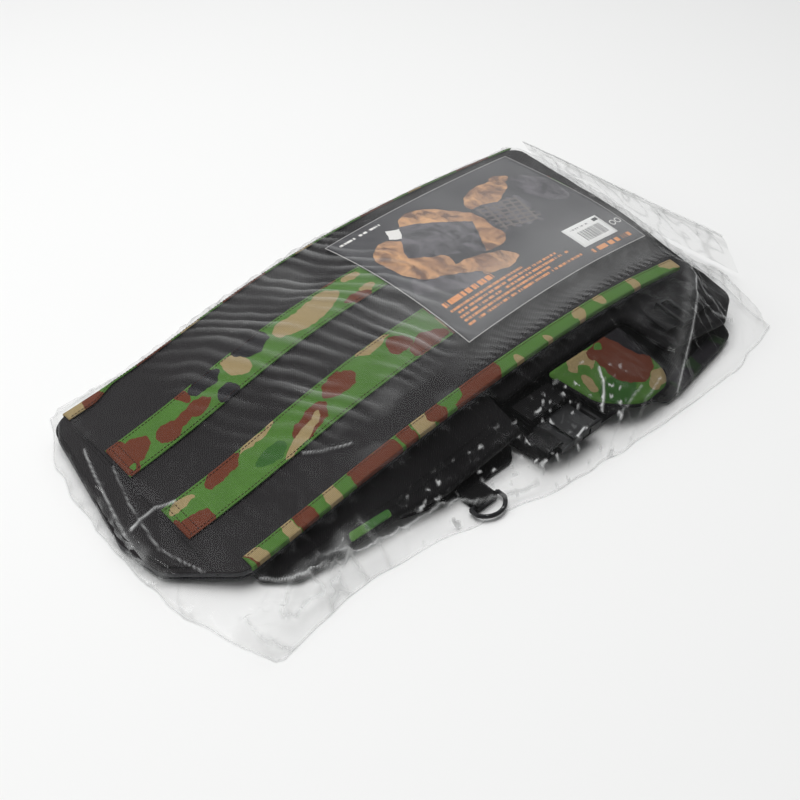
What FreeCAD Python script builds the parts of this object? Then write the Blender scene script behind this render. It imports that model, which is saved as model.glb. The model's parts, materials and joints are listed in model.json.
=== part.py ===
import FreeCAD, Part
import math
import os

import Sketcher

# A folded harness vest packed flat in a clear film bag with a printed card.
# Millimetres, +Z up. The origin is the bottom centre of the whole pack. +X runs along the
# vest's length, from the thin hem end to the thick shoulder end, and +Y runs across it.
# The back panel lies on top, crowned over the front panels, pads and belt folded below it.

V = FreeCAD.Vector
Z_AXIS = V(0, 0, 1)
doc = FreeCAD.newDocument("HarnessVest")
sheet = doc.addObject("Spreadsheet::Sheet", "Sizes")

SIZES = {
    # bag of thin film
    "bag_length": 656.0,
    "bag_width": 372.0,
    "film_thickness": 0.5,
    "film_gap": 0.3,
    "flap_reach": 53.0,
    "flap_width": 250.0,
    "flap_film": 0.4,
    "strip_width": 10.0,
    # padded back panel, from its outer cloth down to its lining
    "shell_thickness": 1.5,
    "foam_thickness": 6.0,
    "lining_thickness": 1.5,
    "panel_near": -87.0,
    "panel_far": 150.0,
    "panel_left": -314.0,
    "panel_right": 268.0,
    # edge binding tape
    "binding_width": 11.0,
    "binding_thickness": 1.0,
    # woven straps sewn along the back panel
    "strap_width": 38.0,
    "strap_thickness": 1.6,
    "strap_start": -276.0,
    "strap_far_y": 65.0,
    "strap_near_y": -16.0,
    "stitch_row": 1.2,
    "stitch_height": 0.4,
    "hem_width": 26.0,
    # folded layers under the back panel
    "front_panel_thickness": 10.0,
    "front_panel_gap": 10.5,
    "pad_thickness": 13.0,
    "belt_thickness": 11.0,
    "belt_tail_thickness": 5.6,
    # card and its label
    "card_length": 250.0,
    "card_width": 180.0,
    "card_thickness": 0.4,
    "card_x": 116.0,
    "card_y": 43.0,
    "card_turn": 2.0,
    "card_rise": 3.6,
    "label_length": 52.0,
    "label_width": 29.0,
    "label_thickness": 0.12,
    # side release buckle for narrow webbing
    "buckle_x": 25.0,
    "buckle_y": -143.0,
    "buckle_floor": 12.6,
    "socket_length": 34.0,
    "socket_width": 32.0,
    "socket_height": 10.0,
    "socket_wall": 1.8,
    "plug_gap": 0.35,
    "webbing_width": 25.0,
    "webbing_thickness": 1.4,
    # D-ring of round rod on a webbing tab
    "ring_x": -81.0,
    "ring_y": -146.0,
    "ring_rod": 3.6,
    "ring_width": 30.0,
    "ring_depth": 16.0,
    # three-bar slider
    "slider_x": 182.0,
    "slider_y": -124.0,
    "slider_length": 16.0,
    "slider_bar": 3.0,
    "slider_thickness": 2.2,
}

for row, (alias, value) in enumerate(SIZES.items(), start=1):
    sheet.set("A%d" % row, alias.replace("_", " "))
    sheet.set("B%d" % row, str(value))
    sheet.setAlias("B%d" % row, alias)
doc.recompute()


def size(alias):
    """Value of one driving dimension, in millimetres or degrees."""
    return float(sheet.get(alias))


def bind(obj, **expressions):
    """Bind properties to the sheet; a double underscore stands for a dot in the property path."""
    for path, expression in expressions.items():
        obj.setExpression(path.replace("__", "."), expression)
    return obj


# ---------------------------------------------------------------- surfaces of the bundle

# The bundle's upper face is one cubic surface, steered by heights on a coarse grid: one rail
# for each distance across, one value per station along. The back panel ends at its near edge;
# past it the rails fall away over the folded layers, which follow the face a fixed drop below.
STATIONS = [-325, -240, -160, -80, 0, 90, 180, 285]
RAILS = {
    -160: [13, 13, 14, 17, 26, 38, 42, 38],
    -97: [10, 21, 36, 46, 53, 57, 53, 31],
    -34: [10, 19, 41, 57, 67, 69, 65, 49],
    29: [10, 20, 47, 67, 75, 75, 72, 62],
    92: [11, 28, 56, 70, 75, 73, 71, 64],
    155: [10, 18, 37, 56, 67, 72, 71, 65],
}
DEGREE = 3


def even_knots(count):
    """Clamped, evenly spaced knots and their multiplicities for a row of poles."""
    spans = count - DEGREE
    knots = [i / spans for i in range(spans + 1)]
    return [DEGREE + 1] + [1] * (spans - 1) + [DEGREE + 1], knots


def rail_surface(name):
    """Smooth face steered by the rails, which are the rows of its control points."""
    poles = [[V(x, y, z) for x, z in zip(STATIONS, RAILS[y])] for y in sorted(RAILS)]
    across, across_knots = even_knots(len(RAILS))
    along, along_knots = even_knots(len(STATIONS))
    surface = Part.BSplineSurface()
    surface.buildFromPolesMultsKnots(
        poles, across, along, across_knots, along_knots, False, False, DEGREE, DEGREE
    )
    face = doc.addObject("Part::Feature", name)
    face.Shape = surface.toShape()
    return face


bundle_face = rail_surface("BundleFace")


def outline_prism(name, points, radii, floor, height=110.0):
    """Upright prism over a closed outline whose corners are rounded with the given radii."""
    edges = []
    count = len(points)
    ends = []
    for i, (point, radius) in enumerate(zip(points, radii)):
        corner = V(point[0], point[1], 0)
        back = V(*points[i - 1], 0) - corner
        ahead = V(*points[(i + 1) % count], 0) - corner
        half = back.getAngle(ahead) / 2
        reach = radius / math.tan(half)
        back.normalize()
        ahead.normalize()
        middle = (back + ahead).normalize()
        start = corner + back * reach
        end = corner + ahead * reach
        top = corner + middle * (radius / math.sin(half) - radius)
        ends.append((start, top, end))
    for i, (start, top, end) in enumerate(ends):
        edges.append(Part.Arc(start, top, end))
        edges.append(Part.LineSegment(end, ends[(i + 1) % count][0]))
    sketch = doc.addObject("Sketcher::SketchObject", name + "Outline")
    sketch.addGeometry(edges)
    sketch.Placement.Base = V(0, 0, floor)
    prism = doc.addObject("Part::Extrusion", name + "Prism")
    prism.Base = sketch
    prism.DirMode = "Normal"
    prism.LengthFwd = height
    prism.Solid = True
    return prism


def block(name, **expressions):
    """Box whose sides and place are expressions of the sheet."""
    return bind(doc.addObject("Part::Box", name), **expressions)


def slab(name, face, top, thickness):
    """Solid of even depth under a face that is first raised by the expression in top."""
    skin = doc.addObject("Part::Feature", name + "Skin")
    skin.Shape = face.Shape
    bind(skin, Placement__Base__z=top)
    body = doc.addObject("Part::Extrusion", name + "Slab")
    body.Base = skin
    body.DirMode = "Custom"
    body.Dir = V(0, 0, -1)
    body.Solid = True
    return bind(body, LengthFwd=thickness)


def pair(kind, name, base, tool):
    """Boolean of two objects, of kind Part::Common, Part::Cut or Part::Fuse."""
    result = doc.addObject(kind, name)
    result.Base = base
    result.Tool = tool
    return result


nodes = []


def node(obj, name):
    """Give a finished sub-part its name and list it for export."""
    obj.Label = name
    nodes.append(obj)
    return obj


FLOOR = size("film_thickness") + size("film_gap")

# ---------------------------------------------------------------- back panel

PANEL_OUTLINE = [
    (-264, size("panel_near")),
    (-307, -42),
    (size("panel_left"), 2),
    (-291, size("panel_far")),
    (size("panel_right"), size("panel_far")),
    (242, size("panel_near")),
]
PANEL_RADII = [20, 24, 30, 22, 14, 12]


def back_panel():
    """Outer cloth, foam and lining of the back panel, stacked with no gap."""
    layers = [
        ("back_panel_shell", "0", "Sizes.shell_thickness"),
        ("back_panel_foam", "-Sizes.shell_thickness", "Sizes.foam_thickness"),
        (
            "back_panel_lining",
            "-(Sizes.shell_thickness + Sizes.foam_thickness)",
            "Sizes.lining_thickness",
        ),
    ]
    for name, top, thickness in layers:
        prism = outline_prism(name, PANEL_OUTLINE, PANEL_RADII, FLOOR)
        node(pair("Part::Common", name, slab(name, bundle_face, top, thickness), prism), name)


def edge_binding(name, edge, side, lip):
    """Tape folded over one long edge of the panel: a C in section, open towards the panel.

    The lip gives, for stations along the edge, how far the tape laps onto the panel there.
    """
    panel_depth = "(Sizes.shell_thickness + Sizes.foam_thickness + Sizes.lining_thickness)"
    tape = "Sizes.binding_thickness"
    outside = edge + side * 1.2 * size("binding_thickness")
    inside = [(x, edge - side * reach) for x, reach in lip]
    outline = [(lip[0][0], outside), *inside, (lip[-1][0], outside)]
    outer = pair(
        "Part::Common",
        name + "Outer",
        slab(name + "Outer", bundle_face, tape, "%s + 2 * %s" % (panel_depth, tape)),
        outline_prism(name + "Outer", outline, [0.5] * len(outline), FLOOR),
    )
    clear = 10
    low, high = sorted((edge, edge - side * 2 * size("binding_width")))
    inner = pair(
        "Part::Common",
        name + "Inner",
        slab(name + "Inner", bundle_face, "0.05", "%s + 0.1" % panel_depth),
        block(
            name + "InnerBox",
            Length="%f" % (lip[-1][0] - lip[0][0] + 2 * clear),
            Width="%f" % (high - low),
            Height="100",
            Placement__Base__x="%f" % (lip[0][0] - clear),
            Placement__Base__y="%f" % low,
        ),
    )
    node(pair("Part::Cut", name, outer, inner), name)


def straps():
    """Two woven straps along the back panel, with two sewn rows across each square end."""
    rows = []
    for name, centre in (("strap_far", "Sizes.strap_far_y"), ("strap_near", "Sizes.strap_near_y")):
        box = block(
            name + "Box",
            Length="Sizes.panel_right - Sizes.strap_start - 22",
            Width="Sizes.strap_width",
            Height="110",
            Placement__Base__x="Sizes.strap_start",
            Placement__Base__y=centre + " - Sizes.strap_width / 2",
        )
        body = slab(name, bundle_face, "Sizes.strap_thickness", "Sizes.strap_thickness")
        node(pair("Part::Common", name, body, box), name)
        for step in (4, 10):
            rows.append(
                block(
                    "%sRow%d" % (name, step),
                    Length="Sizes.stitch_row",
                    Width="Sizes.strap_width - 4",
                    Height="110",
                    Placement__Base__x="Sizes.strap_start + %d" % step,
                    Placement__Base__y=centre + " - Sizes.strap_width / 2 + 2",
                )
            )
    grid = doc.addObject("Part::MultiFuse", "StitchRows")
    grid.Shapes = rows
    top = "Sizes.strap_thickness + Sizes.stitch_height"
    thread = slab("StitchThread", bundle_face, top, "Sizes.stitch_height")
    node(pair("Part::Common", "strap_end_stitching", thread, grid), "strap_end_stitching")


def end_hem():
    """Plain facing band sewn over the thin end of the panel, clear of the strap ends."""
    prism = outline_prism(
        "EndHem",
        [(-284, -62), (-303, -40), (-310, 2), (-290, 134), (-282, 134)],
        [4, 10, 14, 3, 3],
        FLOOR,
    )
    body = slab("EndHem", bundle_face, "1.2", "1.2")
    node(pair("Part::Common", "end_hem_band", body, prism), "end_hem_band")


back_panel()
FULL_LIP = size("binding_width")
ROLLED_LIP = 2.0
edge_binding("binding_near", size("panel_near"), -1, [(-258, FULL_LIP), (240, FULL_LIP)])
edge_binding(
    "binding_far",
    size("panel_far"),
    1,
    [(-278, FULL_LIP), (-256, FULL_LIP), (-228, ROLLED_LIP), (260, ROLLED_LIP)],
)
straps()
end_hem()

# ---------------------------------------------------------------- folded layers below


def front_panels():
    """Left and right front panels, folded in under the back panel and out past its near edge."""
    outlines = {
        "front_panel_left": (
            [
                (-256, -92), (-236, -110), (-150, -119), (-105, -128),
                (-18, -126), (-18, 140), (-256, 132),
            ],
            [8, 12, 40, 20, 4, 4, 20],
        ),
        "front_panel_right": (
            [
                (-14, -99), (142, -99), (150, -146), (224, -154),
                (262, -134), (274, -96), (276, 140), (-14, 140),
            ],
            [4, 8, 8, 8, 22, 12, 14, 4],
        ),
    }
    for name, (points, radii) in outlines.items():
        prism = outline_prism(name, points, radii, FLOOR)
        body = slab(name, bundle_face, "-Sizes.front_panel_gap", "Sizes.front_panel_thickness")
        node(pair("Part::Common", name, body, prism), name)


def front_strap():
    """Short visible run of a woven strap sewn low on the left front panel."""
    top = "Sizes.strap_thickness - Sizes.front_panel_gap"
    body = slab("FrontStrap", bundle_face, top, "Sizes.strap_thickness")
    outline = [(-190, -115), (-152, -118), (-150, -112), (-186, -108)]
    prism = outline_prism("FrontStrap", outline, [2, 2, 2, 2], FLOOR)
    node(pair("Part::Common", "front_strap", body, prism), "front_strap")


def shoulder_pads():
    """Two padded shoulder sections folded side by side under the front panels."""
    top = "-(Sizes.front_panel_gap + Sizes.front_panel_thickness + 0.3)"
    for name, low, high, end in (
        ("shoulder_pad_left", -78, 22, 205),
        ("shoulder_pad_right", 34, 136, 258),
    ):
        points = [(-60, low), (end, low), (end, high), (-60, high)]
        prism = outline_prism(name, points, [18, 30, 30, 18], FLOOR)
        body = slab(name, bundle_face, top, "Sizes.pad_thickness")
        node(pair("Part::Common", name, body, prism), name)


BELT_EDGE = [(118, -174), (232, -158)]


def waist_belt():
    """Wide belt at the bottom of the bundle, with tape along the edge that shows at the right."""
    points = [(-150, -88), (-22, -88), (-18, -150), (100, -152), BELT_EDGE[0], BELT_EDGE[1],
              (248, -134), (252, 128), (-150, 128)]
    radii = [10, 6, 10, 8, 8, 10, 20, 24, 20]
    belt = outline_prism("waist_belt", points, radii, FLOOR)
    bind(belt, LengthFwd="Sizes.belt_thickness")
    tape = block("BeltTapeBox", Width="Sizes.binding_width", Height="Sizes.belt_thickness + 0.6")
    run = V(*BELT_EDGE[1], 0) - V(*BELT_EDGE[0], 0)
    tape.Length = run.Length - 26
    turn = FreeCAD.Rotation(Z_AXIS, math.degrees(math.atan2(run.y, run.x)))
    start = V(*BELT_EDGE[0], FLOOR + 0.4) + turn.multVec(V(14, -1.2, 0))
    tape.Placement = FreeCAD.Placement(start, turn)
    body = pair("Part::Cut", "BeltTapeOuter", tape, belt)
    node(belt, "waist_belt")
    node(body, "waist_belt_binding")


def belt_tail():
    """Left end of the belt, folded flat on the film under the left front panel's near edge."""
    points = [(-160, -88.5), (-156, -106), (-138, -116), (-100, -128),
              (-90, -130.2), (-32, -130.2), (-22.5, -120), (-22.5, -88.5)]
    tail = outline_prism("belt_tail", points, [6, 10, 20, 10, 10, 6, 4, 4], FLOOR)
    node(bind(tail, LengthFwd="Sizes.belt_tail_thickness"), "belt_tail")


front_panels()
front_strap()
shoulder_pads()
waist_belt()
belt_tail()

# ---------------------------------------------------------------- pocket on the near side

POCKET_TOP = FLOOR + size("belt_thickness") + 0.4
POCKET_HINGE = V(0, -103, 39)
FLAP_SLOPE = 19.0
FLAP_THICKNESS = 2.0
FLAP_GAP = 0.4


def wedge_section(name, points, start, length):
    """Prism along X from a closed section drawn in Y and Z."""
    outline = doc.addObject("Part::Polygon", name + "Section")
    outline.Nodes = [V(start, y, z) for y, z in points]
    outline.Close = True
    prism = doc.addObject("Part::Extrusion", name)
    prism.Base = outline
    prism.DirMode = "Custom"
    prism.Dir = V(1, 0, 0)
    prism.LengthFwd = length
    prism.Solid = True
    return prism


def flap_plane(y, rise=0.0):
    """Height of the pocket flap's lower face at a distance across."""
    return POCKET_HINGE.z + (y - POCKET_HINGE.y) * math.tan(math.radians(FLAP_SLOPE)) + rise


def pocket():
    """Small pocket with a sloping mouth, and its flap with a trimmed round lower edge."""
    near, far = -158, -106
    section = [
        (near, POCKET_TOP),
        (near, flap_plane(near, -FLAP_GAP)),
        (far, flap_plane(far, -FLAP_GAP)),
        (far, POCKET_TOP),
    ]
    node(wedge_section("PocketBody", section, 54, 72), "pocket_body")
    low, high = -170, -104
    strip = [
        (low, flap_plane(low)),
        (low, flap_plane(low, FLAP_THICKNESS)),
        (high, flap_plane(high, FLAP_THICKNESS)),
        (high, flap_plane(high)),
    ]
    sheet_body = wedge_section("PocketFlapSheet", strip, 20, 130)
    flap_prism = outline_prism(
        "PocketFlap",
        [(34, -104), (129, -104), (128, -163), (82, -162), (54, -142)],
        [3, 3, 10, 40, 24],
        FLOOR,
    )
    node(pair("Part::Common", "PocketFlap", sheet_body, flap_prism), "pocket_flap")
    trim_prism = outline_prism(
        "PocketTrim",
        [(37, -112), (120, -112), (131, -140), (130.6, -165.4), (80, -165), (51.5, -143.6)],
        [3, 3, 3, 12, 42, 26],
        FLOOR,
    )
    ring = pair("Part::Common", "PocketTrimSheet", sheet_body, trim_prism)
    node(pair("Part::Cut", "PocketTrim", ring, flap_prism), "pocket_flap_trim")


pocket()

# ---------------------------------------------------------------- buckle


def origin_plane(body, role):
    """A body's own origin plane, such as XY_Plane."""
    return next(f for f in body.Origin.OriginFeatures if f.Role == role)


def flat_sketch(body, name, rise, geometry):
    """Sketch on the body's XY plane, lifted by rise."""
    sketch = body.newObject("Sketcher::SketchObject", name)
    sketch.AttachmentSupport = (origin_plane(body, "XY_Plane"), [""])
    sketch.MapMode = "FlatFace"
    sketch.AttachmentOffset = FreeCAD.Placement(V(0, 0, rise), FreeCAD.Rotation())
    sketch.addGeometry(geometry)
    return sketch


def rectangle(x0, y0, x1, y1):
    """Four lines round a rectangle."""
    corners = [V(x0, y0, 0), V(x1, y0, 0), V(x1, y1, 0), V(x0, y1, 0)]
    return [Part.LineSegment(corners[i], corners[(i + 1) % 4]) for i in range(4)]


def polygon(points):
    """Straight lines through points, closed."""
    corners = [V(x, y, 0) for x, y in points]
    return [Part.LineSegment(corners[i - 1], corners[i]) for i in range(len(corners))]


def pad_on(body, name, rise, geometry, length):
    """Pad of a flat sketch; length is an expression of the sheet."""
    pad = body.newObject("PartDesign::Pad", name)
    pad.Profile = flat_sketch(body, name + "Sketch", rise, geometry)
    return bind(pad, Length=length)


def pocket_in(body, name, rise, geometry, length):
    """Pocket cut upwards from a flat sketch, with its depth an expression of the sheet."""
    cut = body.newObject("PartDesign::Pocket", name)
    cut.Profile = flat_sketch(body, name + "Sketch", rise, geometry)
    cut.Reversed = True
    bind(cut, Length=length)
    return cut


def new_body(name, base):
    """PartDesign body whose own origin stands at base."""
    body = doc.addObject("PartDesign::Body", name)
    body.Placement.Base = base
    return body


BUCKLE_BASE = V(size("buckle_x"), size("buckle_y"), size("buckle_floor"))


def long_outer_edges(shape, length, half_width):
    """Names of the full-length edges along X on a shape's two sides."""
    names = []
    for i, edge in enumerate(shape.Edges, start=1):
        middle = edge.CenterOfMass
        if abs(edge.Length - length) < 0.01 and abs(abs(middle.y) - half_width) < 0.01:
            names.append("Edge%d" % i)
    return names


def buckle_socket():
    """Hollow half of the buckle: open mouth to the left, side windows, webbing bar at the right."""
    half_length = size("socket_length") / 2
    half_width = size("socket_width") / 2
    wall = size("socket_wall")
    body = new_body("BuckleSocket", BUCKLE_BASE)
    shell = rectangle(-half_length, -half_width, half_length, half_width)
    pad_on(body, "SocketShell", 0, shell, "Sizes.socket_height")
    cavity = rectangle(-half_length - 1, wall - half_width, half_length - 9, half_width - wall)
    pocket_in(body, "SocketCavity", wall, cavity, "Sizes.socket_height - 2 * Sizes.socket_wall")
    windows = rectangle(-6, -half_width - 1, 4, -half_width + wall + 0.5)
    windows += rectangle(-6, half_width - wall - 0.5, 4, half_width + 1)
    pocket_in(body, "SocketWindows", wall, windows, "Sizes.socket_height - 2 * Sizes.socket_wall")
    slot = rectangle(half_length - 6, 3.5 - half_width, half_length - 2.6, half_width - 3.5)
    pocket_in(body, "SocketSlot", -1, slot, "Sizes.socket_height + 2")
    doc.recompute()
    cut = body.Tip
    rim = body.newObject("PartDesign::Fillet", "SocketRim")
    rim.Base = (cut, long_outer_edges(cut.Shape, 2 * half_length, half_width))
    rim.Radius = 1.2
    body.Tip = rim
    node(body, "buckle_socket")


def buckle_plug():
    """Solid half: webbing bar outside the mouth, cross bar and middle guide tongue inside it."""
    half_length = size("socket_length") / 2
    half_width = size("socket_width") / 2
    wall = size("socket_wall")
    gap = size("plug_gap")
    inner = half_width - wall - gap
    height = "Sizes.socket_height - 2 * (Sizes.socket_wall + Sizes.plug_gap)"
    body = new_body("BucklePlug", BUCKLE_BASE)
    frame = rectangle(-half_length - 15, -half_width, -half_length - 0.6, half_width)
    frame += rectangle(-half_length - 12, 3.5 - half_width, -half_length - 8, half_width - 3.5)
    pad_on(body, "PlugFrame", wall + gap, frame, height)
    tongue = polygon([
        (-half_length - 1, -3), (4, -3), (6, -1.5), (6, 1.5), (4, 3), (-half_length - 1, 3),
    ])
    pad_on(body, "PlugTongue", wall + gap, tongue, height)
    heel = rectangle(-half_length - 1, -inner, -half_length + 3, inner)
    pad_on(body, "PlugHeel", wall + gap, heel, height)
    node(body, "buckle_plug")


def buckle_prong(name, side):
    """Springy side arm that ends in a barb, which shows in the socket's side window."""
    half_length = size("socket_length") / 2
    half_width = size("socket_width") / 2
    wall = size("socket_wall")
    gap = size("plug_gap")
    inner = half_width - wall - gap
    outline = [
        (-half_length + 3.6, side * (inner - 4)),
        (2, side * (inner - 4)),
        (5, side * (inner - 2.5)),
        (2.5, side * (half_width - 0.4)),
        (-4.6, side * (half_width - 0.4)),
        (-5.4, side * inner),
        (-half_length + 3.6, side * inner),
    ]
    body = new_body(name, BUCKLE_BASE)
    pad_on(
        body, name + "Arm", wall + gap + 0.2, polygon(outline),
        "Sizes.socket_height - 2 * (Sizes.socket_wall + Sizes.plug_gap + 0.2)",
    )
    node(body, name)


def buckle_webbing():
    """Webbing that passes round the plug's bar, and the folded run sewn to the socket's side."""
    half_length = size("socket_length") / 2
    middle = size("buckle_floor") + size("socket_height") / 2
    thick = size("webbing_thickness")
    bar_left = size("buckle_x") - half_length - 15
    width = size("webbing_width") - 1
    tail = [
        (bar_left + 5.6, middle - 2.2),
        (bar_left + 3.6, middle - 2.2),
        (bar_left + 3.6, middle - 5.0),
        (bar_left - 14, middle - 5.0),
        (bar_left - 14, middle - 5.0 + thick),
        (bar_left - 1.2, middle - 5.0 + thick),
        (bar_left - 1.2, middle + 5.0 - thick),
        (bar_left - 14, middle + 5.0 - thick),
        (bar_left - 14, middle + 5.0),
        (bar_left + 5.6, middle + 5.0),
    ]
    outline = doc.addObject("Part::Polygon", "PlugWebbingSection")
    outline.Nodes = [V(x, size("buckle_y") - width / 2, z) for x, z in tail]
    outline.Close = True
    web = doc.addObject("Part::Extrusion", "PlugWebbing")
    web.Base = outline
    web.DirMode = "Custom"
    web.Dir = V(0, 1, 0)
    web.LengthFwd = width
    web.Solid = True
    bar = doc.addObject("Part::Box", "PlugWebbingBar")
    bar.Length = 4.4
    bar.Width = width + 2
    bar.Height = 7.0
    bar.Placement.Base = V(bar_left - 0.8, size("buckle_y") - width / 2 - 1, middle - 3.5)
    node(pair("Part::Cut", "PlugWebbingLoop", web, bar), "plug_webbing")


def webbing_bundle():
    """Spare webbing folded back and forth into an upright stack beside the buckle."""
    thick = size("webbing_thickness")
    low = POCKET_TOP
    folds = doc.addObject("Part::MultiFuse", "WebbingBundle")
    runs = []
    for i in range(7):
        run = doc.addObject("Part::Box", "BundleRun%d" % i)
        run.Length = 46 - 3 * (i % 3)
        run.Width = size("webbing_width") - 2
        bind(run, Height="Sizes.webbing_thickness")
        run.Placement.Base = V(-8 + 2 * (i % 2), -126.2, low + i * (thick + 1.2))
        runs.append(run)
        if i:
            turn = doc.addObject("Part::Box", "BundleTurn%d" % i)
            turn.Length = thick
            turn.Width = size("webbing_width") - 2
            turn.Height = thick + 2.0
            end = -4 if i % 2 else 30
            turn.Placement.Base = V(end, -126.2, low + (i - 1) * (thick + 1.2) + 0.4)
            runs.append(turn)
    folds.Shapes = runs
    node(folds, "webbing_bundle")


buckle_socket()
buckle_plug()
buckle_prong("buckle_prong_near", -1)
buckle_prong("buckle_prong_far", 1)
buckle_webbing()
webbing_bundle()

# ---------------------------------------------------------------- D-ring and slider


def d_ring():
    """Bent rod in a D, lying flat, with its straight bar held in a webbing tab."""
    radius = size("ring_rod") / 2
    half = size("ring_width") / 2
    centre = V(size("ring_x"), size("ring_y"), FLOOR + radius + 2.0)
    shoulder = 7.0
    right, left = V(half, 0, 0), V(-half, 0, 0)
    right_low, left_low = V(half, -shoulder, 0), V(-half, -shoulder, 0)
    seam = V(half, -shoulder / 2, 0)
    path = Part.Wire([
        Part.LineSegment(seam, right).toShape(),
        Part.LineSegment(right, left).toShape(),
        Part.LineSegment(left, left_low).toShape(),
        Part.Arc(left_low, V(0, -size("ring_depth"), 0), right_low).toShape(),
        Part.LineSegment(right_low, seam).toShape(),
    ])
    rod = Part.Wire(Part.Circle(seam, V(0, 1, 0), radius).toShape())
    ring = doc.addObject("Part::Feature", "DRing")
    ring.Shape = path.makePipeShell([rod], True, False, 2)
    ring.Placement.Base = centre
    node(ring, "d_ring")
    return centre, radius


def d_ring_tab(centre, radius):
    """Webbing folded round the ring's straight bar, its two tails running in under the panel."""
    width = size("webbing_width") - 3
    clear = radius + 0.35
    thick = size("webbing_thickness")
    section = doc.addObject("Part::Box", "TabBlock")
    section.Length = width
    section.Width = 2 * (clear + thick) + 12
    section.Height = 2 * (clear + thick)
    section.Placement.Base = centre + V(-width / 2, -clear - thick, -clear - thick)
    hole = doc.addObject("Part::Cylinder", "TabHole")
    hole.Radius = clear
    hole.Height = width + 2
    hole_start = centre - V(width / 2 + 1, 0, 0)
    hole.Placement = FreeCAD.Placement(hole_start, FreeCAD.Rotation(V(0, 1, 0), 90))
    gap = doc.addObject("Part::Box", "TabGap")
    gap.Length = width + 2
    gap.Width = 16
    gap.Height = 2 * clear - 1.0
    gap.Placement.Base = centre + V(-width / 2 - 1, 1.0, 0.5 - clear)
    hollow = pair("Part::Fuse", "TabHollow", hole, gap)
    node(pair("Part::Cut", "DRingTab", section, hollow), "d_ring_tab")


SLIDER_PITCH = 5.0
SLIDER_ROLL = 10.0


def slider_set():
    """Adjuster webbing lying on the right front panel, threaded through a three-bar slider."""
    thick = size("webbing_thickness")
    width = size("webbing_width")
    base = V(size("slider_x"), size("slider_y"), 40.0)
    roll = FreeCAD.Rotation(V(1, 0, 0), SLIDER_ROLL)
    turn = roll.multiply(FreeCAD.Rotation(V(0, 1, 0), SLIDER_PITCH))
    placement = FreeCAD.Placement(base, turn)
    web = doc.addObject("Part::Box", "AdjusterWebbing")
    bind(web, Width="Sizes.webbing_width", Height="Sizes.webbing_thickness")
    web.Length = 74
    web.Placement = placement.multiply(FreeCAD.Placement(V(-28, -width / 2, 0), FreeCAD.Rotation()))
    node(web, "adjuster_webbing")
    half = size("slider_length") / 2
    bar = size("slider_bar")
    rim = width / 2 + 0.5
    body = doc.addObject("PartDesign::Body", "StrapSlider")
    body.Placement = placement
    side_low = -0.35 - size("slider_thickness")
    for name, side in (("SliderNear", -1), ("SliderFar", 1)):
        y0, y1 = sorted((side * rim, side * (rim + bar)))
        depth = "2 * Sizes.slider_thickness + 2.1"
        pad = pad_on(body, name, side_low, rectangle(-half, y0, half, y1), depth)
        pad.Refine = True
        if side < 0:
            middle = rectangle(-bar / 2, -rim - 0.5, bar / 2, rim + 0.5)
            pad_on(body, "SliderMiddle", side_low, middle, "Sizes.slider_thickness")
    for name, x0, x1 in (("SliderLeft", -half, bar - half), ("SliderRight", half - bar, half)):
        bar_outline = rectangle(x0, -rim - 0.5, x1, rim + 0.5)
        pad_on(body, name, thick + 0.35, bar_outline, "Sizes.slider_thickness")
    node(body, "strap_slider")


ring_centre, ring_radius = d_ring()
d_ring_tab(ring_centre, ring_radius)
slider_set()

# ---------------------------------------------------------------- card and label


def card_piece(name, label, rise, thickness, low_corner, **sides):
    """Flat stock bent with the panel, its low corner given from the card's middle."""
    stock = slab(name, bundle_face, rise, thickness)
    box = block(name + "Box", Height="110", **sides)
    turn = FreeCAD.Rotation(Z_AXIS, size("card_turn"))
    corner = V(size("card_x"), size("card_y"), 0) + turn.multVec(low_corner)
    box.Placement = FreeCAD.Placement(corner, turn)
    node(pair("Part::Common", name, stock, box), label)


def card():
    """Printed card that lies over the straps, and the paper label stuck on it."""
    card_piece(
        "Card",
        "product_card",
        "Sizes.card_rise",
        "Sizes.card_thickness",
        V(-size("card_length") / 2, -size("card_width") / 2, 0),
        Length="Sizes.card_length",
        Width="Sizes.card_width",
    )
    card_piece(
        "Label",
        "barcode_label",
        "Sizes.card_rise + Sizes.label_thickness",
        "Sizes.label_thickness",
        V(52, -72, 0),
        Length="Sizes.label_length",
        Width="Sizes.label_width",
    )


card()

# ---------------------------------------------------------------- bag

HALF_LENGTH = size("bag_length") / 2
HALF_WIDTH = size("bag_width") / 2


def bag_back_film():
    """Flat film under the vest."""
    points = [
        (-300, -158), (276, -HALF_WIDTH), (312, -160),
        (HALF_LENGTH, 30), (HALF_LENGTH, HALF_WIDTH - 6), (250, HALF_WIDTH),
        (-296, HALF_WIDTH), (-HALF_LENGTH, 140), (-HALF_LENGTH, -90),
    ]
    radii = [20, 20, 20, 30, 20, 60, 20, 20, 40]
    film = outline_prism("BackFilm", points, radii, 0)
    bind(film, LengthFwd="Sizes.film_thickness")
    node(film, "bag_back_film")


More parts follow.
